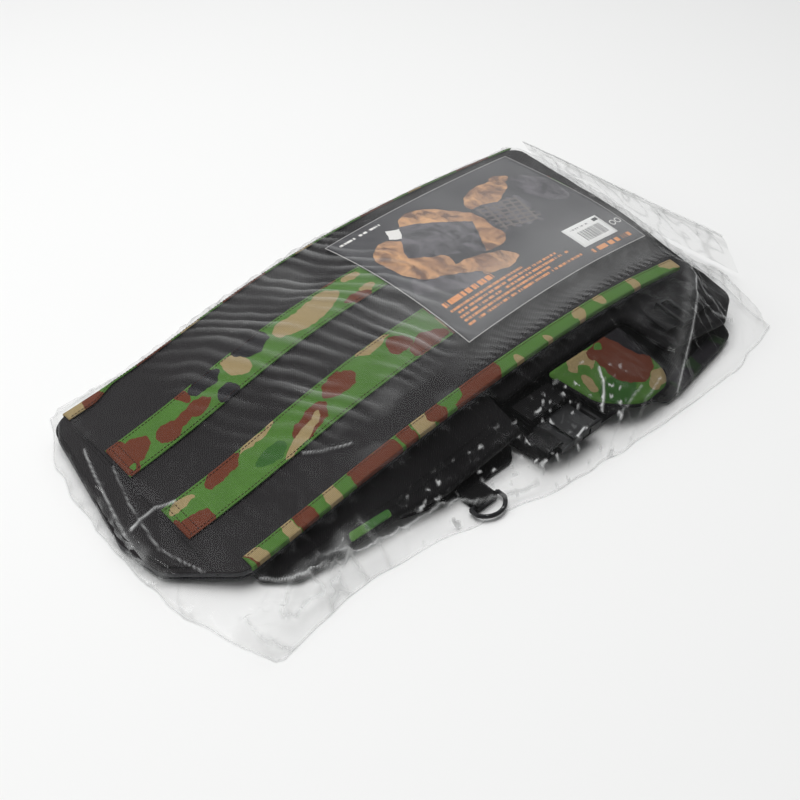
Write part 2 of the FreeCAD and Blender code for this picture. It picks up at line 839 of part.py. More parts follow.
# Sections across the bag: how far the tented film stands out at the table and at its two
# shoulders on the near side, then its rise over the panel's rails.
TENT = {
    -324: [(-92, 3), (-84, 6), (-72, 10), (-60, 15), (-37, 17), (23, 17), (90, 18), (130, 18), (140, 3)],
    -290: [(-156, 3), (-138, 10), (-112, 16), (-99, 22), (-37, 23), (23, 24), (90, 28), (152, 34), (180, 3)],
    -240: [(-159, 3), (-138, 15), (-118, 24), (-99, 31), (-37, 33), (23, 35), (90, 42), (158, 50), (184, 3)],
    -160: [(-163, 3), (-146, 14), (-126, 26), (-99, 43), (-37, 48), (23, 53), (90, 61), (160, 67), (184, 3)],
    -80: [(-170, 3), (-165, 16), (-132, 32), (-99, 52), (-37, 61), (23, 70), (90, 74), (160, 74), (184, 3)],
    0: [(-175, 3), (-170, 26), (-135, 42), (-99, 59), (-37, 72), (23, 79), (90, 79), (160, 77), (184, 3)],
    90: [(-180, 3), (-173, 26), (-135, 43), (-99, 63), (-37, 73), (23, 79), (90, 79), (160, 78), (184, 3)],
    180: [(-183, 3), (-172, 24), (-142, 48), (-99, 58), (-37, 71), (23, 78), (90, 79), (160, 77), (184, 3)],
    264: [(-180, 3), (-166, 24), (-142, 34), (-99, 43), (-37, 62), (23, 73), (90, 76), (160, 74), (184, 3)],
    324: [(-140, 2), (-120, 2.5), (-110, 3), (-90, 3), (-37, 3), (23, 3), (90, 3), (150, 3), (170, 2)],
}


def tent_loft(name, grow):
    """Straight-sided loft through the bag's sections, each grown outwards and upwards by grow."""
    sections = []
    base = size("film_thickness") + 0.05
    for x, points in TENT.items():
        outline = doc.addObject("Part::Polygon", "%sAt%s" % (name, str(x).replace("-", "Minus")))
        shift = math.copysign(grow, x) if abs(x) > 300 else 0.0
        last = len(points) - 1
        near_y = points[0][0] - grow
        far_y = points[last][0] + grow
        ring = [(near_y, base), (near_y, points[0][1] + grow)]
        ring += [(y, z + grow) for y, z in points[1:last]]
        ring += [(far_y, points[last][1] + grow), (far_y, base)]
        outline.Nodes = [V(x + shift, y, z) for y, z in ring]
        outline.Close = True
        sections.append(outline)
    loft = doc.addObject("Part::Loft", name)
    loft.Sections = sections
    loft.Solid = True
    loft.Ruled = True
    return loft


def bag_front_film():
    """Film tented over the vest, modelled as a thin shell that stands on the back film."""
    outer = tent_loft("TentOuter", 0.6)
    inner = tent_loft("TentInner", 0.0)
    node(pair("Part::Cut", "FrontFilm", outer, inner), "bag_front_film")


FLAP_HINGE = V(HALF_LENGTH - 1.5, 20, 5.2)
FLAP_LEAN = 51.5


def bag_flap():
    """Closing flap: hinged at the bag's right edge, folded back over the sloping end."""
    lean = FreeCAD.Rotation(V(0, 1, 0), FLAP_LEAN)
    flap = block("BagFlap", Width="Sizes.flap_width", Height="Sizes.flap_film")
    reach = size("flap_reach") / math.cos(math.radians(FLAP_LEAN))
    flap.Length = reach
    offset = FreeCAD.Placement(V(-reach, -size("flap_width") / 2, 0), FreeCAD.Rotation())
    flap.Placement = FreeCAD.Placement(FLAP_HINGE, lean).multiply(offset)
    node(flap, "bag_flap")
    strip = block("AdhesiveStrip", Length="Sizes.strip_width", Height="0.2")
    strip.Width = size("flap_width") - 20
    strip_offset = FreeCAD.Placement(V(6 - reach, 10 - size("flap_width") / 2, -0.2), FreeCAD.Rotation())
    strip.Placement = FreeCAD.Placement(FLAP_HINGE, lean).multiply(strip_offset)
    node(strip, "flap_adhesive_strip")


bag_back_film()
bag_front_film()
bag_flap()

# ---------------------------------------------------------------- checks and export

doc.recompute()
for obj in doc.Objects:
    if "Invalid" in obj.State or "Error" in obj.State:
        raise RuntimeError("%s did not compute: %s" % (obj.Label, obj.State))
os.makedirs("parts", exist_ok=True)
for obj in nodes:
    shape = obj.Shape
    if shape.isNull() or not shape.isValid() or not shape.Solids:
        raise RuntimeError("%s has no valid solid" % obj.Label)
    shape.exportStep("parts/%s.step" % obj.Label)
    print("%-22s %2d solid(s) %9.0f mm3" % (obj.Label, len(shape.Solids), shape.Volume))
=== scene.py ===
"""Looks of a folded harness vest packed in a clear film bag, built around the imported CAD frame."""

import json
import math

import bmesh
import bpy
import numpy as np
from mathutils import Matrix, Vector, noise
from mathutils.bvhtree import BVHTree
from mathutils.geometry import delaunay_2d_cdt

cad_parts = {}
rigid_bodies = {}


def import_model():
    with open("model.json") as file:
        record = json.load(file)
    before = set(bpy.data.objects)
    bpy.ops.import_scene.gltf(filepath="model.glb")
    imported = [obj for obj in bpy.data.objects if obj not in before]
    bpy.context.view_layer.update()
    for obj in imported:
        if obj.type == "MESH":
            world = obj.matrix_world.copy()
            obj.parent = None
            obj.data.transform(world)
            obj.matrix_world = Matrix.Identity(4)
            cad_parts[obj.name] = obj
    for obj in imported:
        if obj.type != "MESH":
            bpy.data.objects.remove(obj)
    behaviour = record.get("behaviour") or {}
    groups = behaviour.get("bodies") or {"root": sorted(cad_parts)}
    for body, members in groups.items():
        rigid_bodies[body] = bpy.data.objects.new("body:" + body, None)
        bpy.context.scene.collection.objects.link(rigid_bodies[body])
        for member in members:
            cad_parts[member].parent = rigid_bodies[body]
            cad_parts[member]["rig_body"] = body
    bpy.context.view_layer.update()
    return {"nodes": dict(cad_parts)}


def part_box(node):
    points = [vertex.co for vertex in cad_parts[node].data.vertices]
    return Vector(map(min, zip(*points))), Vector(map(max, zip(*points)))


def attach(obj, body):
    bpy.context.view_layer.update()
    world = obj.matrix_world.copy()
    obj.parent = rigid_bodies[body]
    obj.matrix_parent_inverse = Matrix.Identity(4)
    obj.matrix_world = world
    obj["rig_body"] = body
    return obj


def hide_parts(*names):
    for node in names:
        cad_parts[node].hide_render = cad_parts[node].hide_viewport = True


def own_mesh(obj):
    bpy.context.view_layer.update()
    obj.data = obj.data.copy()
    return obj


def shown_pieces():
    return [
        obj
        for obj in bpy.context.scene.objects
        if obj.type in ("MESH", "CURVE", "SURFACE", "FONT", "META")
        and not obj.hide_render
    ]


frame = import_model()
NODES = frame["nodes"]
MM = 0.001
TABLE_GAP = 0.9  # millimetres kept free under the vest for the bag's back film

# ------------------------------------------------------------------ the bundle's upper face

# Heights in millimetres on a coarse grid: one rail for each distance across, one value per
# station along. They are the poles of one clamped cubic surface, the same as the CAD's.
STATIONS = [-325, -240, -160, -80, 0, 90, 180, 285]
RAILS = {
    -160: [13, 13, 14, 17, 26, 38, 42, 38],
    -97: [10, 21, 36, 46, 53, 57, 53, 31],
    -34: [10, 19, 41, 57, 67, 69, 65, 49],
    29: [10, 20, 47, 67, 75, 75, 72, 62],
    92: [11, 28, 56, 70, 75, 73, 71, 64],
    155: [10, 18, 37, 56, 67, 72, 71, 65],
}
DEGREE = 3
POLES = np.array([RAILS[y] for y in sorted(RAILS)], float)


def basis(count, t):
    """Every clamped cubic basis function at the parameters t, one row each."""
    inner = np.linspace(0, 1, count - DEGREE + 1)
    knots = np.concatenate([np.zeros(DEGREE), inner, np.ones(DEGREE)])
    t = np.clip(t, 0, 1 - 1e-9)
    rows = [((a <= t) & (t < b)).astype(float) for a, b in zip(knots[:-1], knots[1:])]
    for d in range(1, DEGREE + 1):
        raised = []
        for i in range(len(rows) - 1):
            left, right = knots[i + d] - knots[i], knots[i + d + 1] - knots[i + 1]
            value = np.zeros_like(t)
            if left > 0:
                value += (t - knots[i]) / left * rows[i]
            if right > 0:
                value += (knots[i + d + 1] - t) / right * rows[i + 1]
            raised.append(value)
        rows = raised
    return np.array(rows)


SAMPLES = np.linspace(0, 1, 2001)
ALONG = np.array(STATIONS, float) @ basis(len(STATIONS), SAMPLES)
ACROSS = np.array(sorted(RAILS), float) @ basis(len(RAILS), SAMPLES)


def bundle(x, y):
    """Height of the bundle's upper face over points in millimetres."""
    x, y = np.broadcast_arrays(np.asarray(x, float), np.asarray(y, float))
    u = basis(len(STATIONS), np.interp(x.ravel(), ALONG, SAMPLES))
    v = basis(len(RAILS), np.interp(y.ravel(), ACROSS, SAMPLES))
    return np.einsum("kn,kj,jn->n", v, POLES, u).reshape(x.shape)


# ------------------------------------------------------------------ noise and small helpers


def field(x, y, scale, seed=0.0, stretch=(1.0, 1.0)):
    """Smooth noise from -1 to 1 over points in millimetres, with features about scale wide."""
    flat = [
        noise.noise(Vector((a / scale / stretch[0], b / scale / stretch[1], seed)))
        for a, b in zip(np.ravel(x), np.ravel(y))
    ]
    return np.array(flat).reshape(np.shape(x))


def ridges(x, y, scale, seed=0.0, stretch=(1.0, 1.0), sharpness=2.0):
    """Creased noise from 0 to 1 that peaks along thin winding lines."""
    return (1 - np.abs(field(x, y, scale, seed, stretch)) * 2).clip(0, 1) ** sharpness


def ramp(x, low, high):
    """0 below low and 1 above high, eased in between; low may be the larger one."""
    t = np.clip((np.asarray(x, float) - low) / (high - low), 0, 1)
    return t * t * (3 - 2 * t)


def linear(red, green, blue):
    """Linear colour from display values of 0 to 255."""
    values = [c / 255 for c in (red, green, blue)]
    return [v / 12.92 if v <= 0.04045 else ((v + 0.055) / 1.055) ** 2.4 for v in values]


def slack(depth, scale, seed, shift=0.0):
    """Unevenness of loose cloth, as a function of place."""

    def offset(x, y):
        return depth * field(x, y, scale, seed) + shift

    return offset


def on_bundle(path, lift):
    """Points of a path laid on the bundle's face and raised by lift."""
    return [(x, y, float(bundle(x, y)) + lift) for x, y in path]


def dressed(obj, look, body, replaces):
    """Give an object its look and let it ride on a body, in place of the CAD nodes named."""
    material, slot = LOOKS[look]
    obj.data.materials.clear()
    obj.data.materials.append(material)
    for polygon in obj.data.polygons:
        polygon.use_smooth = True
    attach(obj, body)
    if replaces:
        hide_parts(*replaces)
    return obj


def mesh_piece(name, points, faces, look, body, replaces=(), uv=None):
    """Smooth-shaded mesh of points in millimetres that rides on a body."""
    mesh = bpy.data.meshes.new(name)
    mesh.from_pydata((np.asarray(points, float) * MM).tolist(), [], faces)
    mesh.validate()
    bm = bmesh.new()
    bm.from_mesh(mesh)
    bmesh.ops.recalc_face_normals(bm, faces=bm.faces)
    bm.to_mesh(mesh)
    bm.free()
    if uv is not None:
        layer = mesh.uv_layers.new(name="Flat")
        for loop in mesh.loops:
            layer.data[loop.index].uv = uv[loop.vertex_index]
    obj = bpy.data.objects.new(name, mesh)
    bpy.context.scene.collection.objects.link(obj)
    return dressed(obj, look, body, replaces)


def tube_faces(rings, around, capped=True):
    """Faces of a tube made of rings of points, with a flat face over each end if capped."""
    faces = []
    for i in range(rings - 1):
        for k in range(around):
            a, b = i * around + k, i * around + (k + 1) % around
            faces.append((a, b, b + around, a + around))
    if capped:
        faces.append(tuple(range(around)))
        faces.append(tuple((rings - 1) * around + k for k in reversed(range(around))))
    return faces


def grid_faces(n, m):
    """Faces of a grid of n by m points."""
    return [
        (i * m + j, (i + 1) * m + j, (i + 1) * m + j + 1, i * m + j + 1)
        for i in range(n - 1)
        for j in range(m - 1)
    ]


# ------------------------------------------------------------------ material building


class Shader:
    """A node material with short calls for the nodes used here."""

    def __init__(self, name, colour, roughness, **sockets):
        self.material = bpy.data.materials.new(name)
        self.material.use_nodes = True
        self.tree = self.material.node_tree
        self.surface = self.tree.nodes["Principled BSDF"]
        self.set(self.surface, "Base Color", (*colour, 1))
        self.set(self.surface, "Roughness", roughness)
        for key, value in sockets.items():
            self.set(self.surface, key.replace("_", " "), value)

    def set(self, node, socket, value):
        """Link a socket to another node's output, or give it a plain value."""
        target = node.inputs[socket]
        if isinstance(value, bpy.types.NodeSocket):
            self.tree.links.new(value, target)
        else:
            target.default_value = value

    def add(self, kind, inputs=None, output=0, **properties):
        """New node with the given inputs; returns one of its outputs."""
        node = self.tree.nodes.new("ShaderNode" + kind)
        for key, value in properties.items():
            setattr(node, key, value)
        for socket, value in (inputs or {}).items():
            self.set(node, socket, value)
        return node.outputs[output]

    def math(self, operation, a, b=0.0, c=0.0):
        """One arithmetic step on up to three values."""
        return self.add("Math", {0: a, 1: b, 2: c}, operation=operation)

    def position(self):
        """Place on the object in millimetres, which stays put as the piece moves."""
        place = self.add("TexCoord", output="Object")
        return self.add("VectorMath", {0: place, "Scale": 1 / MM}, operation="SCALE")

    def flat(self):
        """Place on the piece's own flat pattern, in millimetres."""
        return self.add("UVMap", uv_map="Flat")

    def noise(self, place, size, detail=2.0, output="Fac"):
        """Smooth noise with features about size wide."""
        inputs = {"Vector": place, "Scale": 1 / size, "Detail": detail}
        return self.add("TexNoise", inputs, output=output)

    def warp(self, place, size, amount):
        """Shift each place by noise, so that an outline drawn there turns irregular."""
        colour = self.noise(place, size, 3.0, "Color")
        centred = self.add("VectorMath", {0: colour, 1: (0.5, 0.5, 0.5)}, operation="SUBTRACT")
        scaled = self.add("VectorMath", {0: centred, "Scale": amount}, operation="SCALE")
        return self.add("VectorMath", {0: place, 1: scaled}, operation="ADD")

    def mix(self, share, a, b):
        """Blend two colours."""
        node = self.tree.nodes.new("ShaderNodeMix")
        node.data_type = "RGBA"
        for socket, value in (("Factor", share), ("A", a), ("B", b)):
            match = [s for s in node.inputs if s.name == socket and s.enabled]
            value = value if not isinstance(value, (list, tuple)) else (*value[:3], 1)
            if isinstance(value, bpy.types.NodeSocket):
                self.tree.links.new(value, match[0])
            else:
                match[0].default_value = value
        return [o for o in node.outputs if o.enabled][0]

    def tones(self, share, colour, low, high):
        """Blend from a darker to a lighter version of one colour."""
        return self.mix(share, [c * low for c in colour], [c * high for c in colour])

    def ribs(self, place, pitch, angle):
        """Even ribs from 0 to 1, pitch apart, turned by angle in the plane."""
        inputs = {"Vector": place, "Angle": math.radians(angle)}
        turned = self.add("VectorRotate", inputs, rotation_type="Z_AXIS")
        return self.add("TexWave", {"Vector": turned, "Scale": math.pi / 10 / pitch}, output="Fac")

    def inside(self, place, centre, half, turn=0.0, square=False):
        """1 inside an ellipse, or a rectangle if square, and 0 outside."""
        inputs = {
            "Vector": place,
            "Location": (*centre, 0),
            "Rotation": (0, 0, math.radians(turn)),
            "Scale": (*half, 1e6),
        }
        local = self.add("Mapping", inputs, vector_type="TEXTURE")
        if not square:
            radius = self.add("VectorMath", {0: local}, output="Value", operation="LENGTH")
            return self.math("LESS_THAN", radius, 1.0)
        parts = self.add("SeparateXYZ", {0: local}).node
        across = self.math("ABSOLUTE", parts.outputs[0])
        along = self.math("ABSOLUTE", parts.outputs[1])
        return self.math("LESS_THAN", self.math("MAXIMUM", across, along), 1.0)

    def strokes(self, along, seed, size, limit, detail=1.0):
        """Plain upright bars of uneven width: 1 where inked, and 0 between them."""
        key = self.add("CombineXYZ", {0: along, 1: seed})
        return self.math("GREATER_THAN", self.noise(key, size, detail), limit)

    def bump(self, height, distance, strength):
        """Surface tilted by a height from 0 to 1, where 1 stands for distance in metres."""
        return self.add("Bump", {"Height": height, "Distance": distance, "Strength": strength})

    def finish(self, colour=None, roughness=None, normal=None, alpha=None):
        """Join what was built to the surface, and return the material."""
        pairs = {"Base Color": colour, "Roughness": roughness, "Normal": normal, "Alpha": alpha}
        for socket, value in pairs.items():
            if value is not None:
                self.set(self.surface, socket, value)
        return self.material


GREEN = linear(84, 128, 54)
DARK_GREEN = linear(58, 104, 44)
BELT_GREEN = linear(34, 50, 30)
BROWN = linear(112, 58, 38)
KHAKI = linear(170, 150, 108)
CAMO_BLACK = linear(36, 34, 38)
NYLON_BLACK = linear(33, 31, 32)
# Painted shade: a darker copy of the black nylon for the layers lying low under the back panel.
NYLON_SHADED = linear(15, 14, 15)

# Camouflage patches scattered by noise: (colour, size, noise limit, shift of the noise).
SCATTERED = [(KHAKI, 34.0, 0.6, 90), (BROWN, 30.0, 0.57, 300), (CAMO_BLACK, 40.0, 0.62, 700)]


def nylon(name, colour=NYLON_BLACK, pitch=1.5, angle=38):
    """Ribbed black nylon: fine diagonal ribs, with a painted highlight on their tops."""
    s = Shader(name, colour, 0.62, Specular_IOR_Level=0.18)
    place = s.position()
    ribs = s.ribs(place, pitch, angle)
    threads = s.ribs(place, pitch * 0.6, angle - 90)
    cloud = s.noise(place, 35.0)
    # Painted highlight: the rib tops are coloured lighter and the grooves darker, as lamp light would
    # fall on them.
    lit = s.math("MULTIPLY_ADD", ribs, 0.75, s.math("MULTIPLY", threads, 0.25))
    shade = s.tones(lit, colour, 0.35, 1.9)
    shade = s.mix(s.math("MULTIPLY", cloud, 0.3), shade, [c * 1.6 for c in colour])
    rough = s.math("MULTIPLY_ADD", cloud, 0.2, 0.5)
    normal = s.bump(lit, 0.0004, 0.7)
    return s.finish(shade, rough, normal)


def webbing(name, colour, pitch=1.6):
    """Plain woven webbing: ribs across the tape and a herringbone of threads, with painted shade
    between the threads.
    """
    s = Shader(name, colour, 0.7, Specular_IOR_Level=0.2)
    place = s.position()
    weave = s.math("MULTIPLY", s.ribs(place, pitch, 0), s.ribs(place, pitch, 90))
    # Painted shade: the gaps between the threads are coloured darker and the thread crossings lighter.
    shade = s.tones(weave, colour, 0.6, 1.5)
    normal = s.bump(weave, 0.0005, 0.8)
    return s.finish(shade, None, normal)


def camo(name, patches, ground=GREEN, rib=1.3, seed=0.0, spread=None, depth=0.38):
    """Printed fabric: irregular patches on a ground colour, over a fine weave.

    Each patch is (colour, x, y, half length, half width, turn), in millimetres. spread gives
    the x beyond which patches are scattered by noise instead. depth is the share of colour
    that is left between the threads, where the weave is darkened by painted shade.
    """
    s = Shader(name, ground, 0.72, Specular_IOR_Level=0.25)
    place = s.position()
    level = s.add("VectorMath", {0: place, 1: (1, 1, 0)}, operation="MULTIPLY")
    shifted = s.add("VectorMath", {0: level, 1: (seed, seed, 0)}, operation="ADD")
    bent = s.warp(level, 16.0, 13.0)
    colour = s.tones(s.noise(shifted, 20.0), ground, 0.85, 1.15)
    if spread is not None:
        beyond = s.math("GREATER_THAN", s.add("SeparateXYZ", {0: level}), spread)
        for tone, size, limit, shift in SCATTERED:
            moved = s.add("VectorMath", {0: shifted, 1: (shift, shift, 0)}, operation="ADD")
            spots = s.math("GREATER_THAN", s.noise(moved, size, 1.0), limit)
            colour = s.mix(s.math("MULTIPLY", spots, beyond), colour, tone)
    for tone, x, y, half_x, half_y, turn in patches:
        colour = s.mix(s.inside(bent, (x, y), (half_x, half_y), turn), colour, tone)
    ribs = s.ribs(place, rib, 90)
    threads = s.ribs(place, rib, 0)
    weave = s.math("MULTIPLY_ADD", ribs, 0.6, s.math("MULTIPLY", threads, 0.4))
    fibre = s.noise(place, 1.2, 3.0)
    # Painted shade between the threads of the weave, times a random fibre tone.
    weave_shade_and_fibre = s.math("MULTIPLY_ADD", weave, 0.35, s.math("MULTIPLY_ADD", fibre, 0.5, depth))
    # The print's colour darkened by the painted shade of the weave.
    weave_shaded_colour = s.add("VectorMath", {0: colour, "Scale": weave_shade_and_fibre}, operation="SCALE")
    return s.finish(weave_shaded_colour, None, s.bump(weave, 0.0004, 0.6))


def moulded(name, colour):
    """Moulded plastic with a faint eroded grain."""
    s = Shader(name, colour, 0.42, Specular_IOR_Level=0.25)
    place = s.position()
    grain = s.noise(place, 0.8, 4.0)
    shade = s.tones(s.noise(place, 12.0), colour, 0.8, 1.3)
    rough = s.math("MULTIPLY_ADD", grain, 0.2, 0.32)
    return s.finish(shade, rough, s.bump(grain, 0.0002, 0.5))


def painted_steel(name):
    """Black painted rod, worn to metal in small chips."""
    paint, bare = linear(24, 24, 26), linear(110, 108, 105)
    s = Shader(name, paint, 0.45)
    place = s.position()
    chips = s.math("GREATER_THAN", s.noise(place, 2.2, 4.0), 0.7)
    shade = s.mix(chips, paint, bare)
    s.set(s.surface, "Metallic", s.math("MULTIPLY", chips, 0.9))
    rough = s.math("MULTIPLY_ADD", s.noise(place, 6.0), 0.15, 0.4)
    return s.finish(shade, rough, s.bump(s.noise(place, 3.0), 0.0002, 0.4))


def cellular(name, colour):
    """Closed-cell foam seen at its cut edge."""
    s = Shader(name, colour, 0.9)
    place = s.position()
    cells = s.add("TexVoronoi", {"Vector": place, "Scale": 1.1}, output="Distance")
    # Painted shade: each cell is coloured darker in its hollow middle and lighter at its rim.
    shade = s.tones(cells, colour, 0.7, 1.5)
    return s.finish(shade, None, s.bump(cells, 0.0004, 0.7))


def film(name, clarity=0.02):
    """Clear film: it mirrors a share of the light, more at a glancing angle.

    The mesh attribute read below is the film's whitish share: its own whitening at welded
    seams, tight folds and doubled film, and painted sheen and glints in place of reflections.
    """
    s = Shader(name, linear(216, 217, 216), 0.08)
    place = s.position()
    # Whitish share of the film: partly its own whitening, partly painted sheen and glints.
    milk = s.add("Attribute", output="Fac", attribute_name="milk")
    glance = s.add("LayerWeight", {"Blend": 0.28}, output="Facing")
    mirror = s.math("MULTIPLY_ADD", s.math("POWER", glance, 3.0), 0.6, clarity)
    cover = s.math("ADD", mirror, milk)
    s.set(s.surface, "Metallic", s.math("DIVIDE", mirror, cover))
    rough = s.math("MULTIPLY_ADD", s.noise(place, 18.0), 0.14, 0.03)
    fine = s.bump(s.noise(place, 5.0, 3.0), 0.0006, 0.35)
    return s.finish(None, rough, fine, cover)


# ------------------------------------------------------------------ card print

# Places on the card and the label are in millimetres from their near left corners. A shape is
# (middle, half size, turn), and rectangular where True follows.
CARD_SIZE = Vector((250, 180))
CLOTH_SHAPES = [
    ((40, 104), (25, 42), 10), ((100, 116), (34, 52), 24), ((70, 60), (48, 14), 168),
    ((172, 138), (34, 16), 14), ((206, 150), (12, 6), -20),
]
POUCH_SHAPES = [
    ((82, 112), (37, 27), -34, True), ((40, 60), (34, 9), 150, True),
    ((163, 98), (28, 25), -10, True), ((226, 114), (18, 32), 10),
]
LADDER_SHAPE = ((163, 99), (24, 22), -10, True)
# Rows of plain bars in place of text: (middle, half size, width of a bar).
TEXT_ROWS = [
    ((44, 42.0), (31, 3.0), 2.6), ((59, 33.5), (46, 1.3), 1.5), ((80, 28.5), (66, 1.3), 1.5),
    ((86, 23.5), (72, 1.3), 1.5), ((70, 18.5), (56, 1.3), 1.5), ((90, 13.5), (76, 1.3), 1.5),
    ((212, 10.5), (33, 2.6), 3.4),
]
CAPTION = ((36, 170), (26, 1.6), 0, True)
TAG = ((57, 148), (6.5, 8), -30, True)
RING_MIDDLES = [(236, 30), (244, 30)]


def card_picture(s, flat, dark):
    """Folded tan cloth and dark pouches with straps, over a dark ground."""
    bent = s.warp(flat, 22.0, 12.0)
    creased = s.add("Mapping", {"Vector": s.warp(flat, 34.0, 46.0), "Scale": (1.0, 0.45, 1.0)})
    folds = s.math("MULTIPLY_ADD", s.noise(creased, 11.0, 3.0), 3.4, -1.2)
    soft = s.math("MULTIPLY_ADD", s.noise(flat, 38.0, 1.0), 2.6, -0.8)
    cloth = s.mix(folds, linear(98, 72, 58), linear(206, 158, 112))
    cloth = s.mix(s.math("MULTIPLY", soft, 0.45), cloth, linear(136, 94, 68))
    web = s.mix(folds, linear(34, 33, 38), linear(92, 88, 94))
    colour = s.tones(s.noise(flat, 60.0, 1.0), dark, 0.6, 1.5)
    for shapes, tone in ((CLOTH_SHAPES, cloth), (POUCH_SHAPES, web)):
        for shape in shapes:
            colour = s.mix(s.inside(bent, *shape), colour, tone)
    grid = s.math("GREATER_THAN", s.ribs(flat, 9.0, 20), 0.82)
    rungs = s.math("GREATER_THAN", s.ribs(flat, 7.0, 110), 0.8)
    ladder = s.math("MULTIPLY", s.math("MAXIMUM", grid, rungs), s.inside(flat, *LADDER_SHAPE))
    colour = s.mix(ladder, colour, linear(96, 88, 84))
    return s.mix(s.inside(bent, *TAG), colour, linear(226, 224, 220))


def card_print():
    """Dark printed card: a picture, rows of plain bars for text, two small rings and a rim."""
    dark, orange, white = linear(46, 45, 49), linear(228, 146, 72), linear(226, 224, 220)
    s = Shader("card_print", dark, 0.42, Coat_Weight=0.2)
    flat = s.flat()
    colour = card_picture(s, flat, dark)
    parts = s.add("SeparateXYZ", {0: flat}).node
    u, v = parts.outputs[0], parts.outputs[1]
    for i, (middle, half, width) in enumerate(TEXT_ROWS):
        bars = s.strokes(u, i * 37.0 + 5.0, width, 0.47)
        row = s.inside(flat, middle, half, 0, True)
        colour = s.mix(s.math("MULTIPLY", bars, row), colour, orange)
    caption = s.math("MULTIPLY", s.strokes(u, 400.0, 1.8, 0.46), s.inside(flat, *CAPTION))
    colour = s.mix(caption, colour, white)
    for middle in RING_MIDDLES:
        outer, inner = s.inside(flat, middle, (3.6, 3.6)), s.inside(flat, middle, (2.5, 2.5))
        colour = s.mix(s.math("SUBTRACT", outer, inner), colour, white)
    within_rim = s.inside(flat, CARD_SIZE / 2, CARD_SIZE / 2 - Vector((0.8, 0.8)), 0, True)
    colour = s.mix(s.math("SUBTRACT", 1.0, within_rim), colour, linear(190, 188, 186))
    sheen = s.math("MULTIPLY_ADD", v, 0.0003, 0.38)
    return s.finish(colour, sheen, s.bump(s.noise(flat, 1.5), 0.00005, 0.3))


def bar_label():
    """White paper label with a block of plain upright bars and a row of ticks under it."""
    paper = linear(240, 240, 238)
    s = Shader("label_paper", paper, 0.55)
    flat = s.flat()
    along = s.add("SeparateXYZ", {0: flat})
    bars, ticks = s.strokes(along, 0.0, 0.9, 0.5, 2.0), s.strokes(along, 0.0, 1.4, 0.52)
    block = s.math("MULTIPLY", bars, s.inside(flat, (28, 12), (17, 7), 0, True))
    row = s.math("MULTIPLY", ticks, s.inside(flat, (22, 24), (14, 0.9), 0, True))
    corner = s.inside(flat, (46, 24.5), (3.6, 2.0), 0, True)
    ink = s.math("MAXIMUM", s.math("MAXIMUM", block, row), corner)
    colour = s.mix(ink, paper, linear(40, 40, 42))
    return s.finish(colour, None, s.bump(s.noise(flat, 0.6), 0.00003, 0.3))


# ------------------------------------------------------------------ the printed patches
STRAP_FAR_PATCHES = [
    (BROWN, -270, 66, 12, 21, 0), (BROWN, -257, 66, 11, 12, 0), (GREEN, -268, 54, 4, 3, 30),
    (BROWN, -231, 58, 11, 9, 0), (BROWN, -216, 60, 11, 5, 10), (BROWN, -201, 60, 10, 8, 0),
    (BROWN, -204, 78, 5, 10, 15), (CAMO_BLACK, -184, 77, 15, 10, 8), (CAMO_BLACK, -177, 52, 11, 8, 20),
    (KHAKI, -157, 70, 9, 15, 20), (CAMO_BLACK, -137, 77, 17, 13, -20), (GREEN, -118, 62, 14, 8, 0),
    (KHAKI, -78, 66, 32, 11, 8), (KHAKI, -104, 68, 14, 8, 0), (BROWN, -46, 84, 10, 4, 0),
    (KHAKI, -26, 78, 9, 5, 0), (KHAKI, -24, 56, 8, 5, 0), (BROWN, -38, 51, 14, 6, 0),
    (CAMO_BLACK, -160, 42, 12, 4, 0),
]
STRAP_NEAR_PATCHES = [
    (BROWN, -266, -28, 16, 10, 0), (KHAKI, -264, -6, 10, 6, 0), (BROWN, -276, -20, 4, 8, 0),
    (BROWN, -224, -3, 18, 8, 10), (KHAKI, -188, 0, 18, 3, 5), (BROWN, -149, -20, 20, 9, 12),
    (KHAKI, -160, -25, 24, 4, 14), (BROWN, -113, -9, 17, 9, 0), (KHAKI, -68, 0, 18, 4, 0),
    (BROWN, -50, -13, 11, 9, 0), (BROWN, -30, -27, 20, 9, 0), (DARK_GREEN, -190, -20, 14, 8, 0),
]
BINDING_PATCHES = [
    (BROWN, -253, -82, 3, 20, 0), (KHAKI, -249, -82, 5, 20, 10), (KHAKI, -219, -82, 5, 20, 10),
    (BROWN, -205, -82, 8, 20, 0), (KHAKI, -180, -82, 7, 20, -10), (BROWN, -147, -82, 13, 20, 0),
    (BROWN, -125, -84, 11, 12, 0), (BROWN, -104, -82, 7, 20, 0), (KHAKI, -88, -82, 8, 20, 0),
    (BROWN, -73, -82, 9, 9, 0), (BROWN, -28, -82, 27, 20, 0), (GREEN, -52, -78, 9, 8, 0),
    (KHAKI, 18, -87, 5, 6, 0), (KHAKI, 55, -87, 4, 7, 20), (KHAKI, 98, -82, 5, 9, -30),
    (KHAKI, 127, -80, 5, 7, 0), (KHAKI, 174, -82, 7, 9, 0), (KHAKI, 234, -80, 16, 8, 0),
]
BINDING_FAR_PATCHES = [
    (KHAKI, -270, 142, 10, 20, 0), (BROWN, -252, 142, 9, 20, 0), (BROWN, -190, 142, 20, 20, 0),
    (KHAKI, -150, 142, 10, 20, 0), (BROWN, -90, 142, 26, 20, 0), (KHAKI, -20, 142, 12, 20, 0),
    (BROWN, 70, 142, 22, 20, 0), (KHAKI, 120, 142, 9, 20, 0), (BROWN, 200, 142, 24, 20, 0),
]
BELT_PATCHES = [
    (CAMO_BLACK, 146, -165, 13, 20, 0), (CAMO_BLACK, 190, -162, 18, 20, 0),
]
